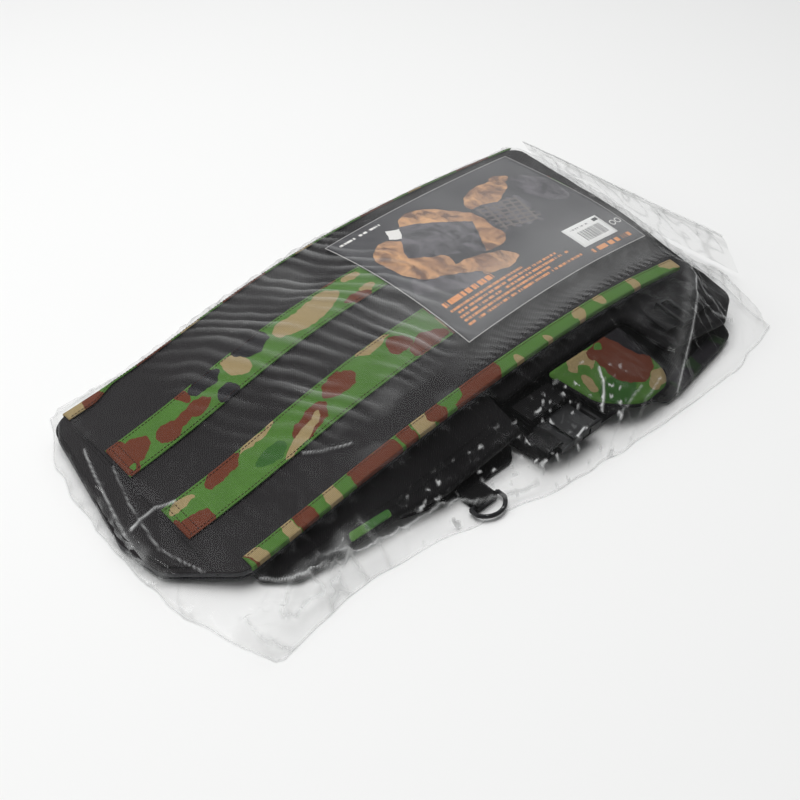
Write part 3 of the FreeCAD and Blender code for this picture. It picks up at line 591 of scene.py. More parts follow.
FLAP_PATCHES = [
    (KHAKI, 72, -112, 18, 8, 0), (GREEN, 66, -118, 6, 4, 0), (DARK_GREEN, 78, -146, 20, 12, 0),
    (BROWN, 108, -126, 26, 28, 0), (BROWN, 92, -112, 14, 8, 0), (GREEN, 96, -108, 6, 4, 0),
    (KHAKI, 121, -158, 16, 6, 10), (KHAKI, 60, -130, 5, 9, 0), (CAMO_BLACK, 128, -112, 14, 36, 25),
]
FRONT_STRAP_PATCHES = [(DARK_GREEN, -160, -112, 14, 6, 0)]

STRIP_FILM = film("adhesive_strip", 0.3)

# Each look is a material and the slot that it fills.
LOOKS = {
    "nylon": (nylon("black_nylon"), "black_nylon"),
    # The same nylon with painted shade, for the layers lying low under the back panel.
    "nylon_painted_shade": (nylon("black_nylon_low", NYLON_SHADED), "black_nylon"),
    "lining": (nylon("black_lining", linear(50, 50, 53), 2.4, 45), "black_lining"),
    "foam": (cellular("foam", linear(70, 70, 72)), "foam"),
    "strap_far": (camo("camo_webbing_far", STRAP_FAR_PATCHES, spread=-8.0), "camo_webbing"),
    "strap_near": (
        camo("camo_webbing_near", STRAP_NEAR_PATCHES, seed=40.0, spread=-8.0), "camo_webbing"
    ),
    "binding_near": (camo("camo_tape_near", BINDING_PATCHES, rib=1.0), "camo_tape"),
    "binding_far": (camo("camo_tape_far", BINDING_FAR_PATCHES, rib=1.0), "camo_tape"),
    "belt_tape": (camo("camo_tape_belt", BELT_PATCHES, BELT_GREEN, 1.0), "camo_tape"),
    "flap": (camo("camo_cloth", FLAP_PATCHES, rib=0.9, depth=0.12), "camo_cloth"),
    "front_strap": (camo("camo_webbing_front", FRONT_STRAP_PATCHES), "camo_webbing"),
    "webbing": (webbing("black_webbing", linear(17, 16, 17)), "black_webbing"),
    "thread": (webbing("thread", linear(72, 44, 36), 0.7), "thread"),
    "dark_thread": (webbing("dark_thread", linear(20, 20, 21), 0.7), "thread"),
    "card": (card_print(), "card_print"),
    "label": (bar_label(), "label_paper"),
    "film": (film("clear_film"), "clear_film"),
    "film_back": (film("clear_film_back", 0.03), "clear_film"),
    "film_flap": (film("clear_film_flap", 0.08), "clear_film"),
    "film_edge": (STRIP_FILM, "clear_film"),
    "strip": (STRIP_FILM, "adhesive_strip"),
}

# ------------------------------------------------------------------ builders of soft pieces


def swept(name, node, look, xs, profile, place, detail=None, body="vest", on_face=True):
    """Closed strip: a closed profile of (across, off) swept along xs, with domed ends.

    place(s, t) gives x and y for a distance along and across. off is the height over the
    bundle's face there, or over the table if the strip isn't on the face.
    """
    rows = []
    flats = []
    middle = np.mean([off for _, off in profile])
    for i, s in enumerate(xs):
        shrink = 0.86 if i in (0, len(xs) - 1) else 1.0
        for t, off in profile:
            x, y = place(s, t)
            rows.append((x, y, middle + (off - middle) * shrink))
            flats.append((s, t))
    rows = np.array(rows)
    if on_face:
        rows[:, 2] += bundle(rows[:, 0], rows[:, 1])
    if detail is not None:
        rows[:, 2] += detail(rows[:, 0], rows[:, 1])
    return mesh_piece(name, rows, tube_faces(len(xs), len(profile)), look, body, [node], flats)


def band_profile(low, high, under, over, steps):
    """Flat closed section with rounded edges, from low to high across."""
    radius = (over - under) / 2
    middle = (over + under) / 2
    flat = high - low - 2 * radius
    points = [(low + radius + flat * i / steps, over) for i in range(steps + 1)]
    for angle in (50, 0, -50):
        a = math.radians(angle)
        points.append((high - radius + radius * math.cos(a), middle + radius * math.sin(a)))
    points += [(high - radius - flat * i / steps, under) for i in range(steps + 1)]
    for angle in (230, 180, 130):
        a = math.radians(angle)
        points.append((low + radius + radius * math.cos(a), middle + radius * math.sin(a)))
    return points


def straight(s, t):
    """Place of a strip that runs along X."""
    return s, t


def rounded(outline, radii, step):
    """Points round a closed outline whose corners are rounded, about step apart."""
    points = []
    count = len(outline)
    for i, (corner, radius) in enumerate(zip(outline, radii)):
        corner = Vector(corner)
        back = (Vector(outline[i - 1]) - corner).normalized()
        ahead = (Vector(outline[(i + 1) % count]) - corner).normalized()
        half = back.angle(ahead) / 2
        centre = corner + (back + ahead).normalized() * (radius / math.sin(half))
        start = corner + back * (radius / math.tan(half))
        end = corner + ahead * (radius / math.tan(half))
        turn = (start - centre).angle_signed(end - centre)
        steps = max(2, int(abs(turn) * radius / step) + 1)
        for k in range(steps + 1):
            arm = (start - centre).copy()
            arm.rotate(Matrix.Rotation(-turn * k / steps, 2))
            points.append(centre + arm)
    spaced = []
    for i, point in enumerate(points):
        ahead = points[(i + 1) % len(points)]
        length = (ahead - point).length
        if length < 0.05:
            continue
        parts = max(1, int(round(length / step)))
        spaced += [tuple(point.lerp(ahead, k / parts)) for k in range(parts)]
    return spaced


PAD_STEP = 4.0
RIM_TURNS = 5


def filled(line):
    """Flat mesh inside a closed line: its points, those of the line first, and its faces."""
    low, high = line.min(0) + PAD_STEP / 2, line.max(0)
    clear = (0.6 * PAD_STEP) ** 2
    grid = [
        (x, y)
        for x in np.arange(low[0], high[0], PAD_STEP)
        for y in np.arange(low[1], high[1], PAD_STEP)
        if np.min(np.sum((line - (x, y)) ** 2, 1)) > clear
    ]
    spots = [Vector(p) for p in [*line, *grid]]
    made = delaunay_2d_cdt(spots, [], [list(range(len(line)))], 1, 1e-6)
    return np.array([tuple(v) for v in made[0]]), made[2]


def slab(name, node, look, outline, radii, top, thickness, roll, detail=None, level=None):
    """Padded layer over an outline, whose rim is rounded off over the width roll.

    top is the height of its upper face over the bundle's face, or over level if that is given.
    """
    rim = np.array(rounded(outline, radii, PAD_STEP))
    area = 0.5 * np.sum(rim[:, 0] * np.roll(rim[:, 1], -1) - np.roll(rim[:, 0], -1) * rim[:, 1])
    ahead = np.roll(rim, -1, 0) - np.roll(rim, 1, 0)
    inward = np.stack([-ahead[:, 1], ahead[:, 0]], 1) * np.sign(area)
    inward /= np.linalg.norm(inward, axis=1)[:, None]
    inner = rim + inward * roll
    count = len(inner)
    points, faces = filled(inner)
    total = len(points)
    x, y = points.T
    upper = (bundle(x, y) if level is None else np.full(total, level)) + top
    lower = np.maximum(upper - thickness, TABLE_GAP)
    if detail is not None:
        upper = upper + detail(x, y)
    upper = np.maximum(upper, lower + 0.8)
    sheets = [np.column_stack([points, upper]), np.column_stack([points, lower])]
    all_faces = [tuple(f) for f in faces] + [tuple(total + i for i in reversed(f)) for f in faces]
    rings = [list(range(count))]
    for k in range(1, RIM_TURNS):
        phi = math.pi * k / RIM_TURNS
        blend = 0.5 + 0.5 * math.cos(phi)
        z = upper[:count] * blend + lower[:count] * (1 - blend)
        sheets.append(np.column_stack([inner - inward * roll * math.sin(phi), z]))
        first = 2 * total + (k - 1) * count
        rings.append(list(range(first, first + count)))
    rings.append(list(range(total, total + count)))
    for above, below in zip(rings[:-1], rings[1:]):
        for i in range(count):
            j = (i + 1) % count
            all_faces.append((above[i], above[j], below[j], below[i]))
    return mesh_piece(name, np.concatenate(sheets), all_faces, look, "vest", [node])


STITCH_PITCH, STITCH_LENGTH = 3.2, 2.3
STITCH_SIDES = 6
STITCH_SHAPE = ((0, 0.3), (0.2, 1), (0.8, 1), (1, 0.3))  # share of the length, share of the radius


def stitches(name, runs, look, radius=0.32, replaces=()):
    """Rows of single stitches, each a short rounded thread, lying along paths of points."""
    points, faces = [], []
    for run in runs:
        run = np.array(run, float)
        gaps = np.linalg.norm(np.diff(run, axis=0), axis=1)
        marks = np.concatenate([[0], np.cumsum(gaps)])
        for start in np.arange(0, marks[-1] - STITCH_LENGTH, STITCH_PITCH):
            a, b = (
                np.array([np.interp(d, marks, run[:, i]) for i in range(3)])
                for d in (start, start + STITCH_LENGTH)
            )
            along = (b - a) / np.linalg.norm(b - a)
            side = np.cross(along, (0, 0, 1))
            side /= np.linalg.norm(side)
            up = np.cross(side, along)
            base = len(points)
            for share, swell in STITCH_SHAPE:
                for k in range(STITCH_SIDES):
                    angle = 2 * math.pi * k / STITCH_SIDES
                    arm = side * math.cos(angle) + up * math.sin(angle)
                    points.append(a + (b - a) * share + arm * radius * swell)
            for face in tube_faces(len(STITCH_SHAPE), STITCH_SIDES):
                faces.append(tuple(base + i for i in face))
    return mesh_piece(name, points, faces, look, "vest", replaces)


def softened(node):
    """Rounded copy of a CAD webbing part, remeshed so that its edges turn soft."""
    source = NODES[node]
    obj = bpy.data.objects.new(node + "_soft", source.data.copy())
    bpy.context.scene.collection.objects.link(obj)
    remesh = obj.modifiers.new("Remesh", "REMESH")
    remesh.mode = "VOXEL"
    remesh.voxel_size = 0.45 * MM
    smooth = obj.modifiers.new("Smooth", "SMOOTH")
    smooth.iterations = 3
    bpy.context.view_layer.update()
    evaluated = obj.evaluated_get(bpy.context.evaluated_depsgraph_get())
    mesh = bpy.data.meshes.new_from_object(evaluated)
    obj.modifiers.clear()
    obj.data = mesh
    dressed(obj, "webbing", source["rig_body"], [node])


# ------------------------------------------------------------------ the vest

PANEL_OUTLINE = [(-264, -87), (-307, -42), (-314, 2), (-291, 150), (268, 150), (242, -87)]
PANEL_RADII = [20, 24, 30, 22, 14, 12]
PANEL_NEAR, PANEL_FAR = -87.0, 150.0
STRAPS = {"strap_far": 65.0, "strap_near": -16.0}
STRAP_HALF = 19.0
BINDING_LIP, ROLLED_LIP = 11.0, 2.0


def shell_detail(x, y):
    """Slack in the outer cloth: shallow dents between the straps, none under them."""
    slack = 0.9 * field(x, y, 48, 3.1) + 0.5 * field(x, y, 20, 7.7)
    held = sum(np.exp(-(((y - centre) / 22) ** 2)) for centre in STRAPS.values())
    return (slack - 0.7) * (1 - 0.8 * np.clip(held, 0, 1))


def back_panel():
    """Shell, foam and lining of the padded back panel, one under the other."""
    for node, look, top, thickness, roll, detail in (
        ("back_panel_shell", "nylon", 0.0, 1.8, 1.0, shell_detail),
        ("back_panel_foam", "foam", -1.5, 6.0, 2.5, None),
        ("back_panel_lining", "lining", -7.5, 1.5, 1.0, None),
    ):
        cloth = slab(
            node + "_cloth", node, look, PANEL_OUTLINE, PANEL_RADII, top, thickness, roll, detail
        )


def straps():
    """Two webbing straps, sewn twice across their thin ends and along both edges."""
    rows = []
    for node, centre in STRAPS.items():
        profile = band_profile(centre - STRAP_HALF, centre + STRAP_HALF, 0.0, 1.6, 12)
        swept(node + "_webbing", node, node, np.arange(-276, 246.1, 4.0), profile, straight,
              slack(0.35, 30, 11.0, 0.25))
        for x in (-272, -266):
            rows.append(on_bundle([(x, y) for y in np.arange(centre - 17, centre + 17.1, 2)], 2.0))
        for y in (centre - STRAP_HALF + 2.5, centre + STRAP_HALF - 2.5):
            rows.append(on_bundle([(x, y) for x in np.arange(-274, 240, 4)], 2.0))
    stitches("strap_stitching", rows, "thread", replaces=["strap_end_stitching"])


def binding_lip(x, full_until, rolled_from):
    """Width of tape that laps onto the panel's top: full up to one place, a sliver from another."""
    return ROLLED_LIP + (BINDING_LIP - ROLLED_LIP) * float(ramp(x, rolled_from, full_until))


def binding_profile():
    """Closed section of an edge tape: (across, off), where across is in lips while negative."""
    profile = [(-1 + k / 6, 1.1 + 0.35 * math.sin(math.pi * k / 6)) for k in range(7)]
    for angle in (60, 30, 0, -30, -60):
        a = math.radians(angle)
        profile.append((0.3 + math.cos(a), -1.5 + 2.6 * math.sin(a)))
    return profile + [
        (-0.25, -4.4), (-0.25, -3.5), (-0.1, -3.4), (-0.04, -1.8), (-0.1, 0.2), (-1, 0.2),
    ]


def binding(node, edge, side, start, end, full_until, rolled_from):
    """Tape folded over a long edge: down the outside and back in under the panel."""

    def place(s, t):
        lip = binding_lip(s, full_until, rolled_from)
        return s, edge + side * (t * lip if t < 0 else t)

    swept(node + "_tape", node, node, np.arange(start, end + 0.1, 3.0), binding_profile(), place,
          slack(0.3, 14, 5.0))
    path = []
    for x in np.arange(start + 3, end - 2, 4):
        path.append((x, edge - side * max(0.5, binding_lip(x, full_until, rolled_from) - 1.8)))
    stitches(node + "_stitching", [on_bundle(path, 1.7)], "thread", 0.28)


def hem():
    """Facing at the panel's thin end, and the seam beside it."""
    outline = [(-284, -62), (-303, -40), (-310, 2), (-290, 134), (-282, 134)]
    slab("hem_band", "end_hem_band", "nylon", outline, [4, 10, 14, 3, 3], 1.2, 1.4, 0.6,
         slack(0.25, 18, 1.0))
    seam = on_bundle([(-279, y) for y in np.arange(-76, 134, 3)], 0.35)
    stitches("panel_seam", [seam], "dark_thread")


def front_panels():
    """The two front panels folded in below the back panel, with a double seam on the left one."""
    left = [(-256, -92), (-236, -110), (-150, -119), (-105, -128), (-18, -126), (-18, 140),
            (-256, 132)]
    right = [(-14, -99), (142, -99), (150, -146), (224, -154), (262, -134), (274, -96),
             (276, 140), (-14, 140)]
    for node, outline, radii in (
        ("front_panel_left", left, [8, 12, 40, 20, 4, 4, 20]),
        ("front_panel_right", right, [4, 8, 8, 8, 22, 12, 14, 4]),
    ):
        cloth = slab(node + "_cloth", node, "nylon_painted_shade", outline, radii, -10.6, 9.8, 3.5,
                     slack(0.8, 34, 9.0, -0.6))
    rows = []
    for inset in (0, 5):
        path = [(x, -99.0 - inset - 10 * ramp(x, -230, -120)) for x in np.arange(-236, -24, 4)]
        rows.append(on_bundle(path, -10.1))
    stitches("front_seams", rows, "dark_thread")


def front_strap():
    """Edge of a short camouflage strap low on the left front panel."""
    outline = [(-190, -115), (-152, -118), (-150, -112), (-186, -108)]
    slab("front_strap_webbing", "front_strap", "front_strap", outline, [2] * 4, -8.9, 1.6, 0.6)


def shoulder_pads():
    """Two long pads folded in between the layers, where the bundle is high."""
    for node, low, high, end in (
        ("shoulder_pad_left", -78, 22, 205), ("shoulder_pad_right", 34, 136, 258),
    ):
        outline = [(-60, low), (end, low), (end, high), (-60, high)]
        pad = slab(node + "_pad", node, "nylon_painted_shade", outline, [18, 30, 30, 18], -21.0, 12.6, 5.0)


def belt():
    """Waist belt at the bottom, and the camouflage tape along the part of its edge that shows."""
    start, end = Vector((118, -174)), Vector((232, -158))
    outline = [(-150, -88), (-22, -88), (-18, -150), (100, -152), start, end, (248, -134),
               (252, 128), (-150, 128)]
    pad = slab("waist_belt_pad", "waist_belt", "nylon_painted_shade", outline,
               [10, 6, 10, 8, 8, 10, 20, 24, 20], 11.0, 10.8, 3.5, slack(0.5, 40, 2.0, -0.5),
               TABLE_GAP)
    along = (end - start).normalized()
    side = Vector((-along.y, along.x))

    def place(s, t):
        spot = start + along * s + side * t
        return spot.x, spot.y

    profile = [(12.0 - 3.0 * k, 12.4 + 0.25 * math.sin(math.pi * k / 4)) for k in range(5)]
    for angle in (60, 20, -20, -60):
        a = math.radians(angle)
        profile.append((-0.4 - 0.9 * math.cos(a), 7.0 + 5.5 * math.sin(a)))
    profile += [(0.6, 1.3), (0.4, 7.0), (1.0, 11.6), (12.0, 11.6)]
    swept("waist_belt_tape", "waist_belt_binding", "belt_tape", np.arange(14, 102, 3.0), profile,
          place, on_face=False)


def belt_tail():
    """Left end of the belt, folded flat under the left front panel's near edge."""
    outline = [(-160, -88.5), (-156, -106), (-138, -116), (-100, -128),
               (-90, -130.2), (-32, -130.2), (-22.5, -120), (-22.5, -88.5)]
    pad = slab("belt_tail_pad", "belt_tail", "nylon_painted_shade", outline, [6, 10, 20, 10, 10, 6, 4, 4],
               6.3, 5.4, 2.0, level=0.0)


back_panel()
straps()
binding("binding_near", PANEL_NEAR, -1, -258, 240, 241, 260)
binding("binding_far", PANEL_FAR, 1, -278, 260, -256, -228)
hem()
front_panels()
front_strap()
shoulder_pads()
belt()
belt_tail()

# ------------------------------------------------------------------ pocket

POCKET_HINGE_Y, POCKET_HINGE_Z, FLAP_SLOPE = -103.0, 39.0, 19.0


def flap_height(y):
    """Height of the pocket flap's lower face at a distance across."""
    return POCKET_HINGE_Z + (y - POCKET_HINGE_Y) * math.tan(math.radians(FLAP_SLOPE))


def pocket_body():
    """Pocket body: a soft wedge whose walls belly out a little and whose mouth slopes."""
    low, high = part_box("pocket_body")
    x0, x1, y0, y1, base = (v / MM for v in (low.x, high.x, low.y, high.y, low.z))
    levels, around = 6, 40
    points = []
    for k in range(levels + 1):
        share = k / levels
        for i in range(around):
            a = 2 * math.pi * i / around
            c, d = math.cos(a), math.sin(a)
            reach = (abs(c) ** 6 + abs(d) ** 6) ** (-1 / 6)
            inset = 1.0 + 1.2 * abs(2 * share - 1) ** 2
            x = (x0 + x1) / 2 + c * reach * ((x1 - x0) / 2 - inset)
            y = (y0 + y1) / 2 + d * reach * ((y1 - y0) / 2 - inset)
            top = flap_height(y) - 0.7
            points.append((x, y, base + 0.2 + (top - base) * share))
    mesh_piece("pocket_body_cloth", points, tube_faces(levels + 1, around), "nylon_painted_shade", "vest",
               ["pocket_body"])


FLAP_OUTLINE = [(34, -104), (129, -104), (133, -168), (84, -169), (50, -146)]
FLAP_RADII = [3, 3, 20, 40, 24]
FLAP_CENTRE = np.array([86.0, -126.0])


def flap_outline(grow):
    """Loose outline of the pocket flap, grown outwards about its middle."""
    middle = np.array([86.0, -128.0])
    grown = [tuple(middle + (np.array(p) - middle) * (1 + grow / 40)) for p in FLAP_OUTLINE]
    return rounded(grown, FLAP_RADII, 2.5)


def flap_cloth():
    """Camouflage flap: a domed sheet of two faces, each made of rings that shrink inwards."""
    rim = np.array(flap_outline(0.0))
    count = len(rim)
    rings = 9
    half = rings * count + 1
    points, faces = [], []
    for side, swell in ((1, 1.0), (-1, 0.5)):
        face_height = 1.0 + side * 0.7
        base = len(points)
        for k in range(rings):
            share = 1 - k / rings
            for x, y in FLAP_CENTRE + (rim - FLAP_CENTRE) * share:
                dome = 1.1 * (1 - share**2) + 0.3 * float(field([x], [y], 16, 4.0)[0])
                points.append((x, y, flap_height(y) + face_height + dome * swell))
        peak = 1.1 if side > 0 else 0.5
        points.append((*FLAP_CENTRE, flap_height(FLAP_CENTRE[1]) + face_height + peak))
        for face in tube_faces(rings, count, capped=False):
            faces.append(tuple(base + i for i in face))
        last = base + (rings - 1) * count
        faces += [(last + i, last + (i + 1) % count, base + half - 1) for i in range(count)]
    for i in range(count):
        j = (i + 1) % count
        faces.append((i, j, half + j, half + i))
    mesh_piece("pocket_flap_cloth", points, faces, "flap", "pocket_lid", ["pocket_flap"])


def flap_trim():
    """Round tape folded over the flap's loose edges, away from its hinge."""
    path = [p for p in flap_outline(0.6) if p[1] < -112]
    gaps = [math.dist(spot, path[i - 1]) for i, spot in enumerate(path)]
    start = gaps.index(max(gaps))
    path = path[start:] + path[:start]
    around = 8
    points = []
    for i, (x, y) in enumerate(path):
        back, ahead = path[max(i - 1, 0)], path[min(i + 1, len(path) - 1)]
        along = Vector((ahead[0] - back[0], ahead[1] - back[1])).normalized()
        out = Vector((along.y, -along.x))
        if (Vector((x, y)) - Vector(FLAP_CENTRE)).dot(out) < 0:
            out = -out
        for k in range(around):
            a = 2 * math.pi * k / around
            reach, lift = 1.9 * math.cos(a) - 0.6, 1.35 * math.sin(a)
            points.append((x + out.x * reach, y + out.y * reach, flap_height(y) + 1.1 + lift))
    mesh_piece("pocket_flap_tape", points, tube_faces(len(path), around), "webbing", "pocket_lid",
               ["pocket_flap_trim"])


pocket_body()
flap_cloth()
flap_trim()

# ------------------------------------------------------------------ fittings and webbing

ACETAL = moulded("black_acetal", linear(16, 16, 17))
FITTINGS = {
    "buckle_socket": ACETAL,
    "buckle_plug": ACETAL,
    "buckle_prong_near": ACETAL,
    "buckle_prong_far": ACETAL,
    "strap_slider": ACETAL,
    "d_ring": painted_steel("ring_steel"),
}
for fitting, fitting_material in FITTINGS.items():
    NODES[fitting].data.materials.clear()
    NODES[fitting].data.materials.append(fitting_material)
for tape_node in ("plug_webbing", "webbing_bundle", "d_ring_tab", "adjuster_webbing"):
    softened(tape_node)

# ------------------------------------------------------------------ card and label

CARD_CENTRE = Vector((116, 43))
CARD_TURN = Matrix.Rotation(math.radians(2), 2)
CARD_RISE = 3.2
CARD_CURL = slack(0.35, 70, 8.0)


def on_card(s, t):
    """Place of a distance along and across the card, from its near left corner."""
    spot = CARD_CENTRE + CARD_TURN @ (Vector((s, t)) - CARD_SIZE / 2)
    return spot.x, spot.y


def card_sheet():
    """Printed card, 0.4 mm thick, laid over the straps."""
    profile = band_profile(0, CARD_SIZE.y, CARD_RISE, CARD_RISE + 0.4, 36)
    swept("card_sheet", "product_card", "card", np.arange(0, CARD_SIZE.x + 0.1, 5.0), profile,
          on_card, CARD_CURL, "card")


def label_sheet():
    """Paper label stuck on the card; its flat pattern starts at its own corner."""
    left, near, length, width = 177, 18, 52, 29
    profile = band_profile(near, near + width, CARD_RISE + 0.42, CARD_RISE + 0.56, 6)
    label = swept("label_sheet", "barcode_label", "label", np.linspace(left, left + length, 12),
                  profile, on_card, CARD_CURL, "card")
    for loop in label.data.uv_layers["Flat"].data:
        loop.uv = (loop.uv[0] - left, loop.uv[1] - near)


card_sheet()
label_sheet()

# ------------------------------------------------------------------ film bag

BAG_LENGTH, BAG_WIDTH = 656.0, 372.0
CELL = 2.0
HALF_X, HALF_Y = 330.0, 188.0
GRID_X = np.arange(-HALF_X, HALF_X + 0.1, CELL)
GRID_Y = np.arange(-HALF_Y, HALF_Y + 0.1, CELL)
NEIGHBOURS = ((1, 0), (-1, 0), (0, 1), (0, -1), (1, 1), (1, -1), (-1, 1), (-1, -1))


def height_map(objects):
    """Highest surface over each cell of the film's grid, in millimetres."""
    graph = bpy.context.evaluated_depsgraph_get()
    top = np.zeros((len(GRID_X), len(GRID_Y)))
    for obj in objects:
        tree = BVHTree.FromObject(obj, graph)
        corners = np.array([v.co for v in obj.data.vertices]) / MM
        low, high = corners.min(0), corners.max(0)
        for i in np.flatnonzero((GRID_X >= low[0]) & (GRID_X <= high[0])):
            for j in np.flatnonzero((GRID_Y >= low[1]) & (GRID_Y <= high[1])):
                above = Vector((GRID_X[i] * MM, GRID_Y[j] * MM, 0.2))
                place = tree.ray_cast(above, Vector((0, 0, -1)))[0]
                if place is not None:
                    top[i, j] = max(top[i, j], place.z / MM)
    return top


def shifted(values, dx, dy):
    """The grid moved by whole cells, with its border repeated."""
    bordered = np.pad(values, 1, mode="edge")
    n, m = values.shape
    return bordered[1 + dx : 1 + dx + n, 1 + dy : 1 + dy + m]


def tented(height, slope):
    """Film pulled down from every high point no steeper than slope, as over a tent's ridge."""
    for _ in range(90):
        for dx, dy in NEIGHBOURS:
            fall = slope * CELL * math.hypot(dx, dy)
            height = np.maximum(height, shifted(height, dx, dy) - fall)
    return height


def blurred(values, passes):
    """The grid averaged with the cells around each one, several times over."""
    for _ in range(passes):
        values = sum(shifted(values, dx, dy) for dx in (-1, 0, 1) for dy in (-1, 0, 1)) / 9
    return values


def bilinear(values, x, y):
    """Values of the grid between its cells."""
    i = np.clip((x - GRID_X[0]) / CELL, 0, len(GRID_X) - 1.001)
    j = np.clip((y - GRID_Y[0]) / CELL, 0, len(GRID_Y) - 1.001)
    i0, j0 = i.astype(int), j.astype(int)
    a, b = i - i0, j - j0
    return (
        values[i0, j0] * (1 - a) * (1 - b) + values[i0 + 1, j0] * a * (1 - b)
        + values[i0, j0 + 1] * (1 - a) * b + values[i0 + 1, j0 + 1] * a * b
    )


# The bag's edges: y at places along X for the long edges, x at places along Y for the ends.
NEAR_EDGE = [
    (-330, -140), (-301, -142), (-281, -154), (-248, -147), (-194, -143), (-133, -148),
    (-79, -162), (-26, -175), (66, -183), (199, -186), (262, -176), (330, -160),
]
FAR_EDGE = [
    (-330, 150), (-292, 166), (-240, 180), (-100, 184), (0, 186), (250, 185), (330, 178),
]
LEFT_EDGE = [
    (-188, -288), (-150, -300), (-110, -313), (-23, -318), (80, -314), (130, -308), (188, -284),
]
RIGHT_EDGE = [
    (-188, 280), (-150, 292), (-115, 307), (-41, 319), (0, 327), (60, 327), (140, 321), (188, 306),
]


def uneven(line, at, amount, scale, seed):
    """An edge at the given places, made slightly ragged by noise."""
    places, values = zip(*line)
    return np.interp(at, places, values) + amount * field(at, at * 0, scale, seed)


def bag_outline_grid(step):
    """x and y of a grid that fills the bag's outline, and the shares along and across it."""
    us = np.linspace(0, 1, int(BAG_LENGTH / step) + 1)
    vs = np.linspace(0, 1, int(BAG_WIDTH / step) + 1)
    u, v = np.meshgrid(us, vs, indexing="ij")
    level_y = 2 * HALF_Y * v - HALF_Y
    left = uneven(LEFT_EDGE, level_y, 3.0, 26, 5.5)
    right = uneven(RIGHT_EDGE, level_y, 3.0, 30, 6.5)
    x = left + (right - left) * u
    near = uneven(NEAR_EDGE, x, 3.0, 24, 7.5)
    far = uneven(FAR_EDGE, x, 2.0, 24, 8.5)
    return x, near + (far - near) * v, u, v


STREAK = Vector((0.454, -0.891))
STREAK_PITCH, TOOTH_PITCH = 13.0, 9.0

# Tight folds where the film shows white, partly its own whitening and partly a painted highlight:
# (half width, strength, points along the fold).
CREASES = [
    (1.0, 0.9, [(-303, 0), (-292, 4), (-280, 4), (-266, -1)]),
    (0.7, 0.4, [(-288, 96), (-296, 64), (-302, 34), (-311, -12)]),
    (0.6, 0.3, [(-282, 60), (-292, 20), (-298, -30), (-286, -70)]),
    (0.9, 0.8, [(71, -129), (66, -138), (56, -148), (43, -157)]),
    (0.8, 0.6, [(246, -92), (228, -113), (203, -132), (164, -155), (120, -178)]),
    (5.0, 0.1, [(238, -98), (220, -112), (196, -128), (158, -151), (118, -174)]),
    (0.7, 0.5, [(206, -134), (214, -150), (222, -160)]),
    (0.7, 0.3, [(230, -112), (222, -130), (219, -156)]),
    (0.9, 0.5, [(-260, -101), (-224, -121), (-184, -130), (-150, -131), (-116, -136)]),
    (0.9, 0.5, [(-116, -136), (-84, -151), (-40, -164)]),
    (0.7, 0.3, [(92, -160), (60, -166), (30, -178)]),
    (0.7, 0.3, [(112, -164), (80, -172), (50, -182)]),
    (0.7, 0.4, [(-173, -40), (-160, -50), (-141, -60)]),
]


def near_line(x, y, line):
    """Distance from each place to a line of straight runs."""
    spots = np.stack([x, y], -1)
    nearest = np.full(np.shape(x), 1e9)
    for start, end in zip(np.array(line[:-1], float), np.array(line[1:], float)):
        run = end - start
        share = np.clip((spots - start) @ run / (run @ run), 0, 1)
        gap = np.linalg.norm(spots - (start + share[..., None] * run), axis=-1)
        nearest = np.minimum(nearest, gap)
    return nearest


def streaks(x, y):
    """Long soft pleats from 0 to 1 that run along STREAK over the panel."""
    across = -STREAK.y * x + STREAK.x * y
    lengthwise = STREAK.x * x + STREAK.y * y
    bend = across + 13 * field(x, y, 75, 2.0) + 4 * field(x, y, 26, 2.6)
    wave = (0.5 + 0.5 * np.cos(2 * np.pi * bend / STREAK_PITCH)) ** 2.4
    swell = np.clip(0.55 + 1.1 * field(lengthwise, across * 2.2, 60, 12.0), 0, 1.2)
    on_panel = ramp(x, -225, -150) * ramp(x, 40, -10) * ramp(y, -62, -30)
    return wave * swell * on_panel


def teeth(x, y):
    """Slanting pulls from 0 to 1 beside the near edge tape."""
    slant = x + 0.9 * y + 4 * field(x, y, 22, 3.0)
    return np.abs(2 * np.mod(slant / TOOTH_PITCH, 1) - 1) ** 1.5


def crumpled(x, y):
    """1 in the crumpled corner of the bag at the near left, and 0 away from it."""
    return ramp(x, -150, -190) * ramp(y, -104, -122)


def wrinkles(x, y, free):
    """Folds of the film over the bundle, always upwards; free is how far it stands clear."""
    fringe = np.exp(-(((y + 66) / 9) ** 2)) * ramp(x, -60, 20) * ramp(x, 240, 200)
    raised = 2.4 * streaks(x, y) + 1.3 * fringe * teeth(x, y)
    fine = 1.3 * ridges(x, y, 26, 21.0) + 0.6 * ridges(x, y, 11, 22.0)
    loose = np.clip(free / 8, 0.25, 1.0)
    long_folds = 4.2 * ridges(x, y, 34, 31.0, (0.6, 2.4), 1.6)
    short_folds = 2.2 * ridges(x, y, 13, 32.0, (0.7, 1.8), 1.4)
    hang = ramp(y, -88, -104) * (long_folds + short_folds)
    coarse = 8 * ridges(x, y, 30, 41.0, sharpness=1.3) + 5 * ridges(x, y, 12, 42.0, sharpness=1.2)
    left_end = ramp(x, -262, -290) * (3.5 * ridges(x, y, 40, 51.0, (0.7, 1.6), 1.5))
    right_end = ramp(x, 240, 262) * (4.0 * ridges(x, y, 36, 61.0, (0.8, 1.6), 1.4))
    creased = sum(
        1.5 * half * np.exp(-((near_line(x, y, line) / (2.2 * half)) ** 2))
        for half, _, line in CREASES
    )
    return raised + fine * loose + hang + crumpled(x, y) * coarse + left_end + right_end + creased


